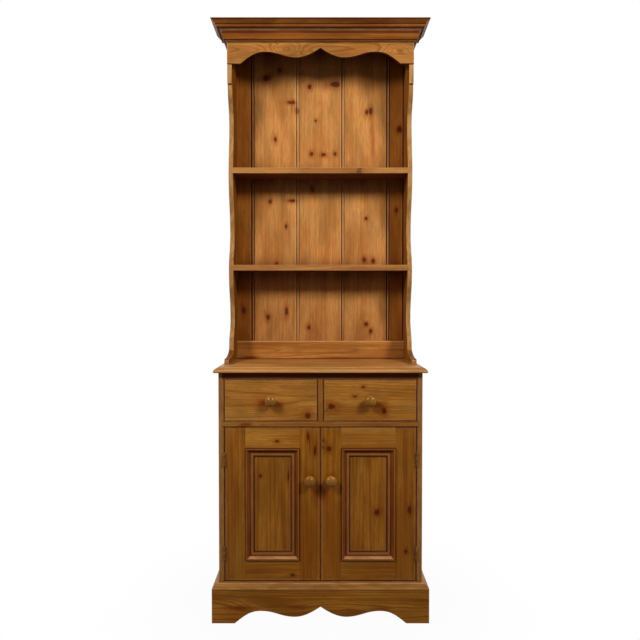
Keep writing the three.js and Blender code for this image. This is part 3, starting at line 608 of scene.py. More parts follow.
def pine_board(node, body, slot, grain, honey, sawn="straight", **finish):
    """One planed, rounded and waxed board in place of its CAD node."""
    seed = sum(ord(letter) * (index + 1) for index, letter in enumerate(node)) % seed_count
    low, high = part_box(node)
    heart = finish.pop("heart", None) or heart_of(sawn, seed)
    material = pine(node + "_wood", low, high, grain, honey, heart, seed, **finish)
    return add_piece(softened(node), body, slot, material, node)


seam_wax = 0.0015  # spread of the dark line where two pieces meet
seam_grime = 0.009  # spread of the faint dirt on both sides of it
seam_highlight = 0.0048  # the painted pale highlight beside it
seam_highlight_spread = 0.0019
seam_darkness = 1.3
seam_faint = 0.22
side_edge_darkness = 1.4
front_face = 0.3  # lines show on faces turned to the front at least this much


def seam(axis, place, inward):
    """The dark line and the painted pale highlight along one edge of a piece, as settings of its wood."""
    dark = [(axis, place, seam_wax, seam_darkness), (axis, place, seam_grime, seam_faint)]
    return dark, [(axis, place + inward * seam_highlight, seam_highlight_spread, seam_faint)]


def seams(low, high, *axes):
    """The lines along both edges of a piece, in each of these directions."""
    dark, pale = [], []
    for axis in axes:
        for place, inward in ((low[axis], 1), (high[axis], -1)):
            lines = seam(axis, place, inward)
            dark += lines[0]
            pale += lines[1]
    return {"wax_lines": dark, "wear_and_highlight_lines": pale, "edge_wear": 0, "lines_face": front_face}


for hand, inner in (("left", 1), ("right", 0)):
    node = "base_side_" + hand
    dark_line = (X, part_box(node)[inner].x, seam_wax, side_edge_darkness)
    pine_board(node, "case", "waxed_pine", Z, side_honey, wax_lines=[dark_line], lines_face=front_face,
               edge_wear=0.3)


# Boards inside the base. The cupboard floor and the board under the drawers run from side to side and show
# their front edges. The upright parts the two drawers, and the top rail closes the front over them.
deep_honey = (165, 107, 36)
divider_honey = (175, 115, 39)
rail_stains = [
    (-0.246, 0.648, 0.018, 0.007, 1.5),
    (-0.19, 0.646, 0.012, 0.003, 0.8),
    (0.012, 0.656, 0.03, 0.003, 0.9),
]
for node, stains in {"cabinet_floor": (), "drawer_board": rail_stains}.items():
    pine_board(node, "case", "waxed_pine", X, divider_honey, "cathedral", stains=stains, stain_axis=Z,
               **seams(*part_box(node), Z))
worktop_shade = (Z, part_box("top_rail")[1].z, 0.018, 2)
pine_board("top_rail", "case", "waxed_pine", X, deep_honey, wax_lines=[worktop_shade],
           lines_face=front_face)
pine_board("drawer_upright", "case", "waxed_pine", Z, divider_honey, **seams(*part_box("drawer_upright"), X))


# Cupboard back. A thin sheet of plywood, let into the sides from behind and left bare: a peeled veneer
# with wide wild figure, its layers showing along the edges.
bare_ply = {"face": colour(206, 166, 112), "figure": colour(176, 128, 76), "core": colour(150, 104, 60)}
ply_layer = 0.003
ply_figure = (0.5, 0.12)  # length and width of the sweeps in the figure
ply_lines = 26  # dark lines from one end of that noise to the other
ply_fibres = (0.03, 0.0012)
ply_relief = (0.3, 0.0004)
ply_roughness = 0.62
ply_unrest = 0.2
# The values between which the sheet's marks rise from unseen to plain to see.
ply_windows = {"figure": (0.55, 0.98), "layer": (0.48, 0.52), "face": (0.3, 0.7), "fibres": (0.4, 0.8)}
ply_shares = {"figure": 0.45, "fibres": 0.35}


def plywood(name, grain, thick, low, seed):
    """Bare plywood, its face veneers running along one axis and its layers stacked along another."""
    material, start = new_material(name)
    place = start.node("ShaderNodeTexCoord", output="Object")
    depth = start.node("ShaderNodeSeparateXYZ", values={0: place}, output=thick)
    sweeps = drawn_out(place, grain, *ply_figure, seed) * ply_lines
    line = sweeps.through("FRACT").rise(*ply_windows["figure"])
    fibres = drawn_out(place, grain, *ply_fibres, seed + 3, detail=3)
    layers = (depth - low[thick]) / (2 * ply_layer)
    inner = layers.through("FRACT").rise(*ply_windows["layer"])
    facing = start.node("ShaderNodeTexCoord", output="Normal")
    facing = start.node("ShaderNodeSeparateXYZ", values={0: facing}, output=thick)
    edge = 1 - facing.through("ABSOLUTE").rise(*ply_windows["face"])
    sheet = (line * ply_shares["figure"]).mixed(bare_ply["face"], bare_ply["figure"])
    torn = fibres.rise(*ply_windows["fibres"]) * ply_shares["fibres"]
    sheet = torn.mixed(sheet, bare_ply["figure"])
    sheet = (edge * inner).mixed(sheet, bare_ply["core"])
    roughness = fibres * ply_unrest + ply_roughness
    finish_material(start, sheet, roughness, (*ply_relief, fibres), {})
    return material


def plywood_sheet(node, body, grain, thick, seed):
    material = plywood(node + "_sheet", grain, thick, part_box(node)[0], seed)
    add_piece(softened(node), body, "plywood", material, node)


plywood_sheet("base_back", "case", grain=Z, thick=Y, seed=4)


# Worktop. One wide pine board on top of the base, with a moulded nosing run along its front and both ends.
# It is handled the most, so it has the brightest polish in the base.
worktop_honey = (202, 141, 74)
pine_board("worktop", "case", "pale_waxed_pine", X, worktop_honey, "cathedral", dullness=0.4)


# Plinth. A scalloped front board and two returns, planted round the foot of the carcass and mitred at the
# corners, with a wide chamfer along the top.
plinth_stains = [
    (-0.265, 0.051, 0.04, 0.007, 1.2),
    (-0.083, 0.054, 0.04, 0.008, 1),
    (0.2, 0.048, 0.04, 0.006, 0.8),
]
plinth_ovals = [(-0.17, 0.055, 0.12, 0.02, 0.012)]
# The upward chamfer along the top is lightened as painted highlight.
pine_board("plinth_front", "case", "waxed_pine", X, deep_honey, "cathedral", stains=plinth_stains,
           ovals=plinth_ovals, ring=0.0065, figure=1.1, top_wear=0.2)
for hand in ("left", "right"):
    pine_board("plinth_" + hand, "case", "waxed_pine", Y, deep_honey)


# Rack sides. Two boards that stand on the worktop, with the front edge sawn to a row of waves between the
# shelves, a square block under the frieze and a small toe at the foot.
rack_side_honeys = {"left": (149, 92, 26), "right": (160, 103, 35)}
dull_sheen = 0.05
for hand, honey in rack_side_honeys.items():
    pine_board("rack_side_" + hand, "case", "waxed_pine", Z, honey, edge_wear=0.7, sheen=dull_sheen)


# Rack shelves, top board and foot rail. Plain boards housed between the sides. The foot rail stands on the
# worktop in front of the back boards, with its upper edge just broken.
shelf_honey = (198, 134, 66)
shelf_knots = {"rack_shelf_lower": [], "rack_shelf_upper": [(0.1385, 0.06, 0.007, 0.01)]}
for node, knots in shelf_knots.items():
    pine_board(node, "case", "pale_waxed_pine", X, shelf_honey, "cathedral", knots=knots, edge_wear=0.15)
foot_line = (Z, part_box("rack_foot_rail")[0].z, 0.0024, 1.3)
foot_stains = [(-0.265, 0.843, 0.035, 0.006, 1.3), (0.06, 0.842, 0.05, 0.005, 0.8)]
pine_board("rack_foot_rail", "case", "pale_waxed_pine", X, shelf_honey, "cathedral", wax_lines=[foot_line],
           lines_face=front_face, stains=foot_stains, edge_wear=0)
pine_board("rack_top", "case", "waxed_pine", X, deep_honey, "cathedral")


# Rack back. Five tongued and grooved boards that stand behind the shelves, each with a bead along its
# right edge. They are the palest wood of the dresser, knotty, with dark wax left in every quirk.
bead_width = 0.009
quirk_width = 0.0022
tongue_width = 0.005
quirk_wax = 0.0026  # spread of the wax round a quirk
quirk_pale = 2.2 * quirk_width  # from the bead to the painted highlight left of the quirk
quirk_darkness = {1: 1.1, 2: 0.5, 3: 0.75, 4: 1.4, 5: 1.9}  # left of each board's bead
joint_darkness = {1: 1.9, 2: 0.8, 3: 0.5, 4: 0.4, 5: 1}  # at each board's left edge
round_face = -0.7  # lines run down the sides of the quirks too
pale_honey = (216, 150, 82)
side_shaded_honey = (184, 113, 42)  # the outermost boards, painted darker for the shade of the rack sides
back_knots = {
    1: [(1.02, -0.29, 0.012, 0.006)],
    2: [
        (1.919, -0.153, 0.007, 0.006),
        (1.888, -0.2015, 0.009, 0.007),
        (1.799, -0.109, 0.005, 0.014),
        (1.769, -0.086, 0.008, 0.006),
        (1.661, -0.169, 0.009, 0.0055),
        (1.429, -0.1895, 0.008, 0.006),
        (1.432, -0.104, 0.0045, 0.012),
        (1.336, -0.129, 0.006, 0.004),
        (1.195, -0.165, 0.006, 0.005),
        (1.017, -0.127, 0.014, 0.005),
        (0.995, -0.198, 0.008, 0.006),
    ],
    3: [
        (1.857, -0.0405, 0.008, 0.006),
        (1.866, 0.055, 0.008, 0.017),
        (1.731, -0.017, 0.004, 0.003),
        (1.607, -0.033, 0.007, 0.0045),
        (1.604, 0.012, 0.006, 0.007),
        (1.607, 0.0545, 0.005, 0.004),
        (1.477, -0.032, 0.009, 0.005),
        (0.955, -0.0435, 0.008, 0.005),
    ],
    4: [
        (1.763, 0.173, 0.009, 0.005),
        (1.766, 0.188, 0.01, 0.006),
        (1.366, 0.171, 0.005, 0.0045),
        (1.21, 0.166, 0.008, 0.006),
        (1.206, 0.1995, 0.007, 0.006),
        (0.968, 0.172, 0.006, 0.006),
        (0.942, 0.191, 0.007, 0.005),
    ],
    5: [(1.699, 0.2968, 0.009, 0.008), (1.397, 0.286, 0.006, 0.004)],
}
back_stains = {
    2: [(1.79, -0.107, 0.03, 0.004, 0.8), (1.75, -0.134, 0.05, 0.02, 0.25)],
    4: [
        (1.755, 0.187, 0.03, 0.006, 0.4),
        (1.71, 0.193, 0.05, 0.007, 0.5),
        (1.63, 0.197, 0.06, 0.009, 0.6),
    ],
}
# Painted shade on the back boards under the rack top and under each shelf, and darker towards the foot rail.
painted_corner_shade = [(Z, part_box("rack_top")[0].z, 0.06, 0.85), (Z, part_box("rack_foot_rail")[0].z, 0.16, 0.38)]
for node in ("rack_shelf_upper", "rack_shelf_lower"):
    painted_corner_shade.append((Z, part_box(node)[0].z, 0.042, 0.75))


def back_board_lines(number, low, high):
    """Quirk and joint wax, painted shade of the shelves, and painted highlights by its bead and quirk."""
    has_tongue = number < len(back_knots)
    bead_right = high.x - tongue_width if has_tongue else high.x
    bead_left = bead_right - bead_width
    wax = [
        (X, low.x, quirk_wax, joint_darkness[number]),
        (X, bead_left - quirk_width / 2, quirk_wax, quirk_darkness[number]),
    ]
    if has_tongue:
        wax.append((X, bead_right, quirk_wax, joint_darkness[number + 1]))
    # Painted highlights: one left of the quirk and one along the bead's crown.
    pale = [
        (X, bead_left - quirk_pale, 0.0016, 0.6),
        (X, bead_left + bead_width / 2, 0.0014, 0.7),
    ]
    return {"wax_lines": painted_corner_shade + wax, "wear_and_highlight_lines": pale, "lines_face": round_face}


for number, knots in back_knots.items():
    node = f"rack_back_board_{number}"
    honey = side_shaded_honey if number in (1, len(back_knots)) else pale_honey
    stains = back_stains.get(number, ())
    lines = back_board_lines(number, *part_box(node))
    pine_board(node, "case", "pale_waxed_pine", Z, honey, "cathedral", knots=knots, stains=stains,
               ring=0.0036, figure=0.22, streaks=0.35, edge_wear=0, **lines)


# Frieze. A scalloped board across the top of the rack, sawn near the heart of the log, so that its growth
# rings close into two long ovals.
frieze_honey = (190, 129, 64)
frieze_heart = (-0.013, 0.045)
frieze_ovals = [(-0.118, 1.937, 0.065, 0.02, 0.012), (0.2765, 1.937, 0.045, 0.014, 0.008)]
pine_board("frieze", "case", "pale_waxed_pine", X, frieze_honey, heart=frieze_heart, ovals=frieze_ovals,
           ring=0.0023, figure=1, streaks=0.4)


# Cornice. A built-up moulding in three lengths, mitred at the corners: a belly and a cove under a small
# square member and a leaning fascia. The wax in it has gone dark.
dark_honey = (166, 103, 43)
fascia_height = 0.014
square_height = 0.009
cove_height = 0.013
cornice_low, cornice_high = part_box("cornice_front")
fascia_foot = cornice_high.z - fascia_height
square_foot = fascia_foot - square_height
cove_foot = square_foot - cove_height
cornice_finish = {
    # The broad line at the cove's foot is painted shade; the pale line under the square member is painted
    # light.
    "wax_lines": [
        (Z, cornice_high.z - 0.003, 0.0016, 0.8),
        (Z, fascia_foot, 0.001, 1),
        (Z, square_foot, 0.0008, 1),
        (Z, cove_foot + 0.001, 0.0055, 0.95),
        (Z, square_foot + square_height / 2, 0.003, 0.5),
        (Z, cornice_low.z + 0.003, 0.0014, 1.2),
    ],
    "wear_and_highlight_lines": [(Z, square_foot - 0.0045, 0.003, 0.8)],
    "edge_wear": 0,
    "underside_shade": 0.25,
    "sheen": dull_sheen,
}
for part, grain in {"front": X, "left": Y, "right": Y}.items():
    pine_board("cornice_" + part, "case", "dark_waxed_pine", grain, dark_honey, **cornice_finish)


# Doors. Two framed doors: stiles and rails tenoned together round a thin flat panel. Wax has gathered in a
# dark line where the moulding meets the frame.
frame_knots = {
    "right_door_lock_stile": [
        (0.569, 0.028, 0.008, 0.007),
        (0.595, 0.008, 0.004, 0.003),
        (0.572, 0.008, 0.004, 0.003),
    ],
    "right_door_hinge_stile": [(0.367, 0.292, 0.01, 0.006), (0.229, 0.28, 0.006, 0.004)],
    "left_door_lock_stile": [(0.611, -0.041, 0.01, 0.003), (0.562, -0.018, 0.012, 0.003)],
    "left_door_top_rail": [(-0.1425, 0.594, 0.006, 0.004)],
    "left_door_bottom_rail": [(-0.091, 0.151, 0.006, 0.004)],
    "right_door_panel": [(0.3555, 0.1847, 0.008, 0.007)],
    "left_door_panel": [(0.477, -0.197, 0.005, 0.004), (0.474, -0.106, 0.014, 0.003)],
}
# Painted shadow under the knobs, finger dirt beside them, two dark streaks, and darker lower stile ends.
door_stains_and_knob_shade = {
    "left_door_lock_stile": [
        (0.425, -0.005, 0.034, 0.02, 1.3),
        (0.465, -0.035, 0.03, 0.026, 0.5),
        (0.59, -0.036, 0.035, 0.002, 1.2),
        (0.578, -0.012, 0.045, 0.002, 1.2),
        (0.25, -0.03, 0.19, 0.08, 0.42),
    ],
    "right_door_lock_stile": [
        (0.425, 0.005, 0.034, 0.02, 1.3),
        (0.465, 0.035, 0.03, 0.026, 0.5),
        (0.25, 0.03, 0.19, 0.08, 0.42),
    ],
    "right_door_hinge_stile": [(0.25, 0.29, 0.17, 0.08, 0.2)],
}
rail_honey = (191, 130, 51)
lock_stile_honey = (170, 112, 33)
moulding_width = 0.0277
inset = Vector((moulding_width, 0, moulding_width))
frame_parts = [
    ("hinge_stile", Z, deep_honey),
    ("lock_stile", Z, lock_stile_honey),
    ("top_rail", X, rail_honey),
    ("bottom_rail", X, deep_honey),
]
for hand in ("left", "right"):
    door = hand + "_door"
    hinge_stile, lock_stile = (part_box(f"{door}_{part}_stile") for part in ("hinge", "lock"))
    door_low = Vector(map(min, hinge_stile[0], lock_stile[0]))
    door_high = Vector(map(max, hinge_stile[1], lock_stile[1]))
    door_edges = seams(door_low, door_high, X, Z)
    for part, grain, honey in frame_parts:
        node = f"{door}_{part}"
        marks = {"knots": frame_knots.get(node, ()), "stains": door_stains_and_knob_shade.get(node, ())}
        pine_board(node, door, "waxed_pine", grain, honey, **marks, **door_edges)
    moulding_low, moulding_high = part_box(door + "_moulding")
    panel_edges = seams(moulding_low + inset, moulding_high - inset, X, Z)
    node = door + "_panel"
    pine_board(node, door, "waxed_pine", Z, deep_honey, "cathedral", knots=frame_knots[node],
               **panel_edges)


# Panel mouldings. Four mitred lengths round each panel: a round lip that stands proud of the frame, a cove
# down to the panel and a small bead. Made by one tree of nodes that lays the lengths round the opening.
moulding_proud = 0.006
moulding_lip = 0.008
moulding_bead = 0.012
moulding_bead_height = 0.006  # how far the bead's crown stands off the panel
moulding_steps = 10
cove_start_pull = (0.25, 0.45)  # where the handles of the cove's curve lie, as shares of its run and drop
cove_end_pull = (0.3, 0.08)
moulding_strip = 0.6  # length of the strip that the wood is laid out for
length_apart = 1.3  # the next length is taken this far along the same wood
merge_distance = 1e-6
moulding_honey = (158, 92, 34)
moulding_heart = (0.12, 0.09)
moulding_seed = 31


def new_tree(name, inputs):
    """A geometry node tree with these named inputs. Gives the tree and its inputs as signals."""
    tree = bpy.data.node_groups.new(name, "GeometryNodeTree")
    kinds = {"Geometry": "NodeSocketGeometry", "Material": "NodeSocketMaterial", "Count": "NodeSocketInt"}
    for title in inputs:
        kind = kinds.get(title, "NodeSocketFloat")
        tree.interface.new_socket(name=title, in_out="INPUT", socket_type=kind)
    tree.interface.new_socket(name="Geometry", in_out="OUTPUT", socket_type="NodeSocketGeometry")
    first = Signal(tree).node("NodeGroupInput")
    return tree, {title: first.output(title) for title in inputs}


def vector(x, y, z):
    """Three numbers, at least one of them a signal, put together."""
    start = next(part for part in (x, y, z) if isinstance(part, Signal))
    return start.node("ShaderNodeCombineXYZ", values={0: x, 1: y, 2: z})


def run_tree(tree, name, sizes, points=()):
    """The plain mesh that a tree makes from these sizes."""
    base = bpy.data.meshes.new(name)
    base.from_pydata(list(points), [], [])
    holder = bpy.data.objects.new(name + "_maker", base)
    bpy.context.scene.collection.objects.link(holder)
    modifier = holder.modifiers.new("maker", "NODES")
    modifier.node_group = tree
    for socket in tree.interface.items_tree:
        if socket.in_out == "INPUT" and socket.name in sizes:
            modifier[socket.identifier] = sizes[socket.name]
    evaluated = holder.evaluated_get(bpy.context.evaluated_depsgraph_get())
    made = bpy.data.meshes.new_from_object(evaluated)
    made.name = name
    holder.modifiers.remove(modifier)
    bpy.data.objects.remove(holder)
    shape = bmesh.new()
    shape.from_mesh(made)
    bmesh.ops.remove_doubles(shape, verts=shape.verts, dist=merge_distance)
    bmesh.ops.recalc_face_normals(shape, faces=shape.faces)
    for face in shape.faces:
        face.smooth = True
    shape.to_mesh(made)
    shape.free()
    return made


def moulding_section(start, size):
    """The outline of the moulding, cut square across: the lip, the cove, the bead and the flat back."""
    lip_middle = size["Lip"] / 2
    lip_side = size["Proud"] - lip_middle
    bead_start = size["Width"] - size["Bead"]
    bead_middle = size["Width"] - size["Bead"] / 2
    bead_foot = size["Bead height"] / 2 - size["Sunk"]
    bead_top = size["Bead height"] - size["Sunk"]
    run = bead_start - size["Lip"]
    drop = lip_side - bead_foot
    back = 0 - size["Sunk"]
    edge = size["Width"] * 0

    def at(inset, out):
        return vector(0, 0 - out, inset)

    def line(first, last):
        return start.node("GeometryNodeCurvePrimitiveLine", values={"Start": first, "End": last})

    def bend(first, middle, last):
        values = {"Resolution": moulding_steps, "Start": first, "Middle": middle, "End": last}
        return start.node("GeometryNodeCurveQuadraticBezier", values=values)

    start_run, start_drop = cove_start_pull
    end_run, end_drop = cove_end_pull
    cove_values = {
        "Resolution": 2 * moulding_steps,
        "Start": at(size["Lip"], lip_side),
        "Start Handle": at(size["Lip"] + run * start_run, lip_side - drop * start_drop),
        "End Handle": at(bead_start - run * end_run, bead_foot + drop * end_drop),
        "End": at(bead_start, bead_foot),
    }
    members = [
        line(at(edge, back), at(edge, lip_side)),
        bend(at(edge, lip_side), at(edge, size["Proud"]), at(lip_middle, size["Proud"])),
        bend(at(lip_middle, size["Proud"]), at(size["Lip"], size["Proud"]), at(size["Lip"], lip_side)),
        start.node("GeometryNodeCurvePrimitiveBezierSegment", values=cove_values),
        bend(at(bead_start, bead_foot), at(bead_start, bead_top), at(bead_middle, bead_top)),
        bend(at(bead_middle, bead_top), at(size["Width"], bead_top), at(size["Width"], bead_foot)),
        line(at(size["Width"], bead_foot), at(size["Width"], back)),
        line(at(size["Width"], back), at(edge, back)),
    ]
    section = start.node("GeometryNodeJoinGeometry", values={0: members})
    section = start.node("GeometryNodeCurveToMesh", values={"Curve": section})
    values = {"Geometry": section, "Distance": merge_distance}
    return start.node("GeometryNodeMergeByDistance", values=values)


def mitred_length(start, size, strip, turn):
    """One length of the strip, mitred at both ends and laid along its side of the opening."""
    sides = ("Outer width", "Outer height")
    run, distance = sides if turn % 2 == 0 else reversed(sides)
    here = start.node("GeometryNodeInputPosition")
    parts = start.node("ShaderNodeSeparateXYZ", values={0: here})
    inset = parts.output(Z)
    along = (parts.output(X) * 2 - 1) * (size[run] / 2 - inset)
    values = {"Geometry": strip, "Position": vector(along, parts.output(Y), inset)}
    length = start.node("GeometryNodeSetPosition", values=values)
    where = start.node("GeometryNodeInputPosition")
    shift = (turn * length_apart, 0, 0)
    moved = start.node("ShaderNodeVectorMath", {"operation": "ADD"}, {0: where, 1: shift})
    stored = {"Geometry": length, "Name": "along the length", "Value": moved}
    settings = {"data_type": "FLOAT_VECTOR", "domain": "CORNER"}
    length = start.node("GeometryNodeStoreNamedAttribute", settings, stored)
    values = {"Geometry": length, "Translation": vector(0, 0, 0 - size[distance] / 2)}
    length = start.node("GeometryNodeTransform", values=values)
    values = {"Geometry": length, "Rotation": (0, turn * math.pi / 2, 0)}
    return start.node("GeometryNodeTransform", values=values)


def mitred_moulding_tree():
    titles = ["Outer width", "Outer height", "Width", "Proud", "Sunk", "Lip", "Bead", "Bead height"]
    tree, size = new_tree("mitred moulding", titles + ["Material"])
    start = Signal(tree)
    across = start.node("ShaderNodeCombineXYZ", values={0: 1})
    pulled = {"Mesh": moulding_section(start, size), "Offset": across, "Offset Scale": 1}
    strip = start.node("GeometryNodeExtrudeMesh", {"mode": "EDGES"}, pulled)
    lengths = [mitred_length(start, size, strip, turn) for turn in range(4)]
    ring = start.node("GeometryNodeJoinGeometry", values={0: lengths})
    ring = start.node("GeometryNodeMergeByDistance", values={"Geometry": ring, "Distance": merge_distance})
    ring = start.node("GeometryNodeRealizeInstances", values={"Geometry": ring})
    ring = start.node("GeometryNodeSetMaterial", values={"Geometry": ring, "Material": size["Material"]})
    start.node("NodeGroupOutput", values={"Geometry": ring})
    return tree


moulding_tree = mitred_moulding_tree()
for hand in ("left", "right"):
    node = hand + "_door_moulding"
    low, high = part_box(node)
    door_face = low.y + moulding_proud
    sunk = high.y - door_face
    dark_lines = [
        (Z, 0, 0.0017, 1.8),
        (Z, moulding_width - moulding_bead, 0.0026, 0.75),
        (Z, moulding_width, 0.0017, 1.1),
    ]
    # Painted highlights along the crowns of the lip and the bead, and on every face that turns up.
    highlight_lines = [
        (Z, moulding_lip / 2, 0.0019, 0.12),
        (Z, moulding_width - moulding_bead / 2, 0.003, 0.2),
    ]
    strip_low = (-moulding_strip / 2, -moulding_proud, 0)
    strip_high = (moulding_strip / 2, sunk, moulding_width)
    wood = pine(node + "_wood", strip_low, strip_high, X, moulding_honey, moulding_heart, moulding_seed,
                wax_lines=dark_lines, wear_and_highlight_lines=highlight_lines, attribute="along the length", ring=0.003,
                edge_wear=0, top_wear=0.75)
    sizes = {
        "Outer width": high.x - low.x,
        "Outer height": high.z - low.z,
        "Width": moulding_width,
        "Proud": moulding_proud,
        "Sunk": sunk,
        "Lip": moulding_lip,
        "Bead": moulding_bead,
        "Bead height": moulding_bead_height,
        "Material": wood,
    }
    mesh = run_tree(moulding_tree, node + "_lengths", sizes)
    for vertex in mesh.vertices:
        vertex.co += (low + high) / 2
        vertex.co.y += door_face - (low.y + high.y) / 2
    add_piece(mesh, hand + "_door", "dark_waxed_pine", wood, node)


# Knobs. Turned from pale pine on a lathe, one for each door and drawer: a thin foot, a waisted neck and a
# round head with a shallow crown. Fingers have polished them.
knob_radius = 0.018
knob_projection = 0.034
knob_neck_radius = 0.0085
knob_foot_radius = 0.012
knob_foot_height = 0.003
knob_neck_height = 0.011
knob_spigot_radius = 0.005
knob_spigot_length = 0.013
knob_rim_share = 0.5  # place of the widest ring, as a share of the head's height
knob_face_share = 0.45  # roundness of the crown
knob_lift = 0.0003  # the foot sits this far off the wood
knob_steps = 12
knob_turns = 64
knob_honey = (186, 128, 46)
knob_heart = (0.03, 0.02)


def curve_points(controls, steps):
    """Points along the Bezier curve of these control points, after its first point."""
    points = []
    for step in range(1, steps + 1):
        share = step / steps
        row = [complex(*point) for point in controls]
        while len(row) > 1:
            row = [first + (last - first) * share for first, last in zip(row, row[1:])]
        points.append((row[0].real, row[0].imag))
    return points


def knob_profile():
    """From the spigot's end to the crown, as radius and distance out of the wood."""
    rim = knob_neck_height + (knob_projection - knob_neck_height) * knob_rim_share
    spigot = [
        (0, -knob_spigot_length),
        (knob_spigot_radius, -knob_spigot_length),
        (knob_spigot_radius, knob_lift),
    ]
    foot = [(knob_foot_radius, knob_lift), (knob_foot_radius, knob_foot_height)]
    neck = [foot[-1], (knob_neck_radius, knob_foot_height), (knob_neck_radius, knob_neck_height)]
    bowl = [neck[-1], (knob_radius, knob_neck_height), (knob_radius, rim)]
    crown = [
        bowl[-1],
        (knob_radius, rim + (knob_projection - rim) * knob_face_share),
        (knob_radius * knob_face_share, knob_projection),
        (0, knob_projection),
    ]
    curves = [curve_points(controls, knob_steps) for controls in (neck, bowl, crown)]
    return sum(curves, spigot + foot)


def turned(name, profile, centre):
    """The profile turned round a line that runs straight out of the wood at the centre."""
    mesh = bpy.data.meshes.new(name)
    shape = bmesh.new()
    row = [shape.verts.new(centre + Vector((radius, -out, 0))) for radius, out in profile]
    edges = [shape.edges.new(pair) for pair in zip(row, row[1:])]
    bmesh.ops.spin(shape, geom=row + edges, cent=centre, axis=(0, 1, 0), angle=2 * math.pi,
                   steps=knob_turns, use_duplicate=False)
    bmesh.ops.remove_doubles(shape, verts=shape.verts, dist=merge_distance)
    bmesh.ops.recalc_face_normals(shape, faces=shape.faces)
    for face in shape.faces:
        face.smooth = True
    shape.to_mesh(mesh)
    shape.free()
    return mesh


for hand in ("left", "right"):
    for part in ("door", "drawer"):
        node = f"{hand}_{part}_knob"
        low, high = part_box(node)
        centre = (low + high) / 2
        centre.y = low.y + knob_projection
        mesh = turned(node + "_turned", knob_profile(), centre)
        seed = sum(map(ord, node)) % seed_count
        wood = pine(node + "_wood", low, high, Y, knob_honey, knob_heart, seed, dullness=0.16, sheen=0.25,
                    ring=0.003, streaks=0.3, edge_wear=0, underside_shade=0.6)
        add_piece(mesh, f"{hand}_{part}", "pale_waxed_pine", wood, node)


# Butt hinges. Small brass hinges let into the door's edge and the carcass side, with their knuckles just
# in front of the door. The brass has gone brown. Three slotted screws with flush heads hold each leaf.
old_brass = {"bright": colour(142, 90, 30), "brown": colour(86, 50, 17)}
brass_blotches = 180  # to the metre
brass_bright = (0.35, 0.7)  # the blotches between these values go from brown to bright
brass_roughness = 0.7
brass_unrest = 0.3
brass_scratches = (0.01, 0.0008)
brass_seed = 3
brass_relief = (0.2, 0.0002)
brass_polish = {"Metallic": 0.2, "Specular IOR Level": 0.2}
leaf_flat = 0.0177  # from the door's face to the back of a leaf
leaf_thickness = 0.0012
leaf_screws = 3
screw_radius = 0.0024
screw_length = 0.0015
screw_spacing = 0.0145
screw_corners = 20
screw_seed = 5  # how far each screw was turned home
slot_width = 0.0006
slot_depth = 0.0004


def aged_brass():
    material, start = new_material("aged_brass")
    place = start.node("ShaderNodeTexCoord", output="Object")
    values = {"Vector": place, "Scale": brass_blotches, "Detail": 4}
    blotches = start.node("ShaderNodeTexNoise", values=values)
    metal = blotches.rise(*brass_bright).mixed(old_brass["brown"], old_brass["bright"])
    scratches = drawn_out(place, Z, *brass_scratches, brass_seed)
    roughness = brass_roughness - blotches * brass_unrest
    finish_material(start, metal, roughness, (*brass_relief, scratches), brass_polish)
    return material


def leaf_screw_tree():
    """Three slotted heads up and down from each point that it is given."""
    titles = ["Geometry", "Count", "Spacing", "Radius", "Length", "Slot width", "Slot depth", "Material"]
    tree, size = new_tree("leaf screws", titles)
    start = Signal(tree)
    rise = vector(0, 0, size["Spacing"])
    first = vector(0, 0, size["Spacing"] * (1 - size["Count"]) / 2)
    values = {"Count": size["Count"], "Start Location": first, "Offset": rise}
    column = start.node("GeometryNodeMeshLine", values=values)
    values = {"Points": size["Geometry"], "Instance": column}
    columns = start.node("GeometryNodeInstanceOnPoints", values=values)
    places = start.node("GeometryNodeRealizeInstances", values={"Geometry": columns})
    values = {"Vertices": screw_corners, "Radius": size["Radius"], "Depth": size["Length"]}
    head = start.node("GeometryNodeMeshCylinder", values=values)
    slots = []
    for end in (-1, 1):
        values = {"Size": vector(size["Radius"] * 3, size["Slot width"], size["Slot depth"] * 2)}
        cutter = start.node("GeometryNodeMeshCube", values=values)
        values = {"Geometry": cutter, "Translation": vector(0, 0, size["Length"] * (end / 2))}
        slots.append(start.node("GeometryNodeTransform", values=values))
    values = {"Mesh 1": head, "Mesh 2": slots}
    head = start.node("GeometryNodeMeshBoolean", {"operation": "DIFFERENCE"}, values)
    quarter = (0, math.pi / 2, 0)
    head = start.node("GeometryNodeTransform", values={"Geometry": head, "Rotation": quarter})
    values = {0: (0, 0, 0), 1: (2 * math.pi, 0, 0), "Seed": screw_seed}
    turn = start.node("FunctionNodeRandomValue", {"data_type": "FLOAT_VECTOR"}, values)
    values = {"Points": places, "Instance": head, "Rotation": turn}
    screws = start.node("GeometryNodeInstanceOnPoints", values=values)
    screws = start.node("GeometryNodeRealizeInstances", values={"Geometry": screws})
    values = {"Geometry": screws, "Material": size["Material"]}
    screws = start.node("GeometryNodeSetMaterial", values=values)
    start.node("NodeGroupOutput", values={"Geometry": screws})
    return tree


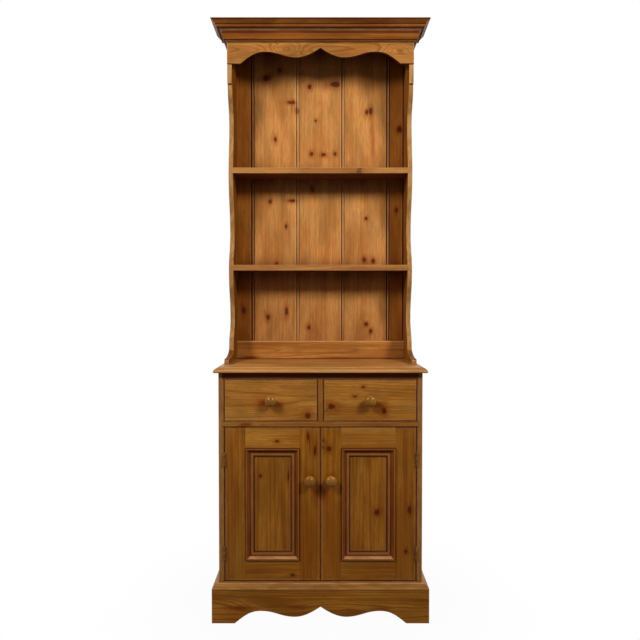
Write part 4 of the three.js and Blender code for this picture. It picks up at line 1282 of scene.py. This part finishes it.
brass = aged_brass()
screw_tree = leaf_screw_tree()
screw_seats = {"case": [], "left_door": [], "right_door": []}
for hand in ("left", "right"):
    for level in ("lower", "upper"):
        for side, body in (("case", "case"), ("door", hand + "_door")):
            node = f"{hand}_{level}_hinge_{side}_leaf"
            add_piece(softened(node), body, "aged_brass", brass, node)
            low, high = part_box(node)
            outer_is_plate = (side == "case") == (hand == "right")
            plate = high.x - leaf_thickness / 2 if outer_is_plate else low.x + leaf_thickness / 2
            screw_seats[body].append((plate, high.y - leaf_flat / 2, (low.z + high.z) / 2))
screw_sizes = {
    "Count": leaf_screws,
    "Spacing": screw_spacing,
    "Radius": screw_radius,
    "Length": screw_length,
    "Slot width": slot_width,
    "Slot depth": slot_depth,
    "Material": brass,
}
for body, seats in screw_seats.items():
    screws = run_tree(screw_tree, body + "_hinge_screws", screw_sizes, seats)
    add_piece(screws, body, "aged_brass", brass)


# Drawers. A flush pine front, lapped over dovetailed sides, and a plain back, all but the front left bare
# and only darkened by hands and years. The bottom is a thin sheet of plywood in a groove.
front_knots = {
    "left_drawer_front": [(-0.041, 0.678, 0.008, 0.009)],
    "right_drawer_front": [
        (0.14, 0.772, 0.005, 0.003),
        (0.1125, 0.741, 0.005, 0.003),
        (0.209, 0.694, 0.006, 0.009),
        (0.035, 0.708, 0.01, 0.008),
    ],
}
# Painted shadow that each knob throws down to the left and right, darkened further by dirt from fingers.
knob_shade_and_grime = {
    "left_drawer_front": [(-0.187, 0.721, 0.022, 0.014, 1), (-0.14, 0.712, 0.021, 0.012, 1)],
    "right_drawer_front": [(0.187, 0.711, 0.024, 0.014, 1), (0.139, 0.709, 0.018, 0.012, 0.8)],
}
drawer_honeys = {"left": (191, 131, 57), "right": (182, 122, 49)}
bare_pine = (214, 176, 122)
bare_dullness = 0.68
for hand, honey in drawer_honeys.items():
    body = hand + "_drawer"
    node = body + "_front"
    marks = {"knots": front_knots[node], "stains": knob_shade_and_grime[node]}
    pine_board(node, body, "waxed_pine", X, honey, "cathedral", ring=0.0055, figure=0.9, streaks=0.45,
               **marks, **seams(*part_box(node), X, Z))
    for part, grain in {"inner_side": Y, "outer_side": Y, "back": X}.items():
        pine_board(f"{body}_{part}", body, "unfinished_pine", grain, bare_pine, dullness=bare_dullness)
    plywood_sheet(body + "_bottom", body, grain=X, thick=Z, seed=8)
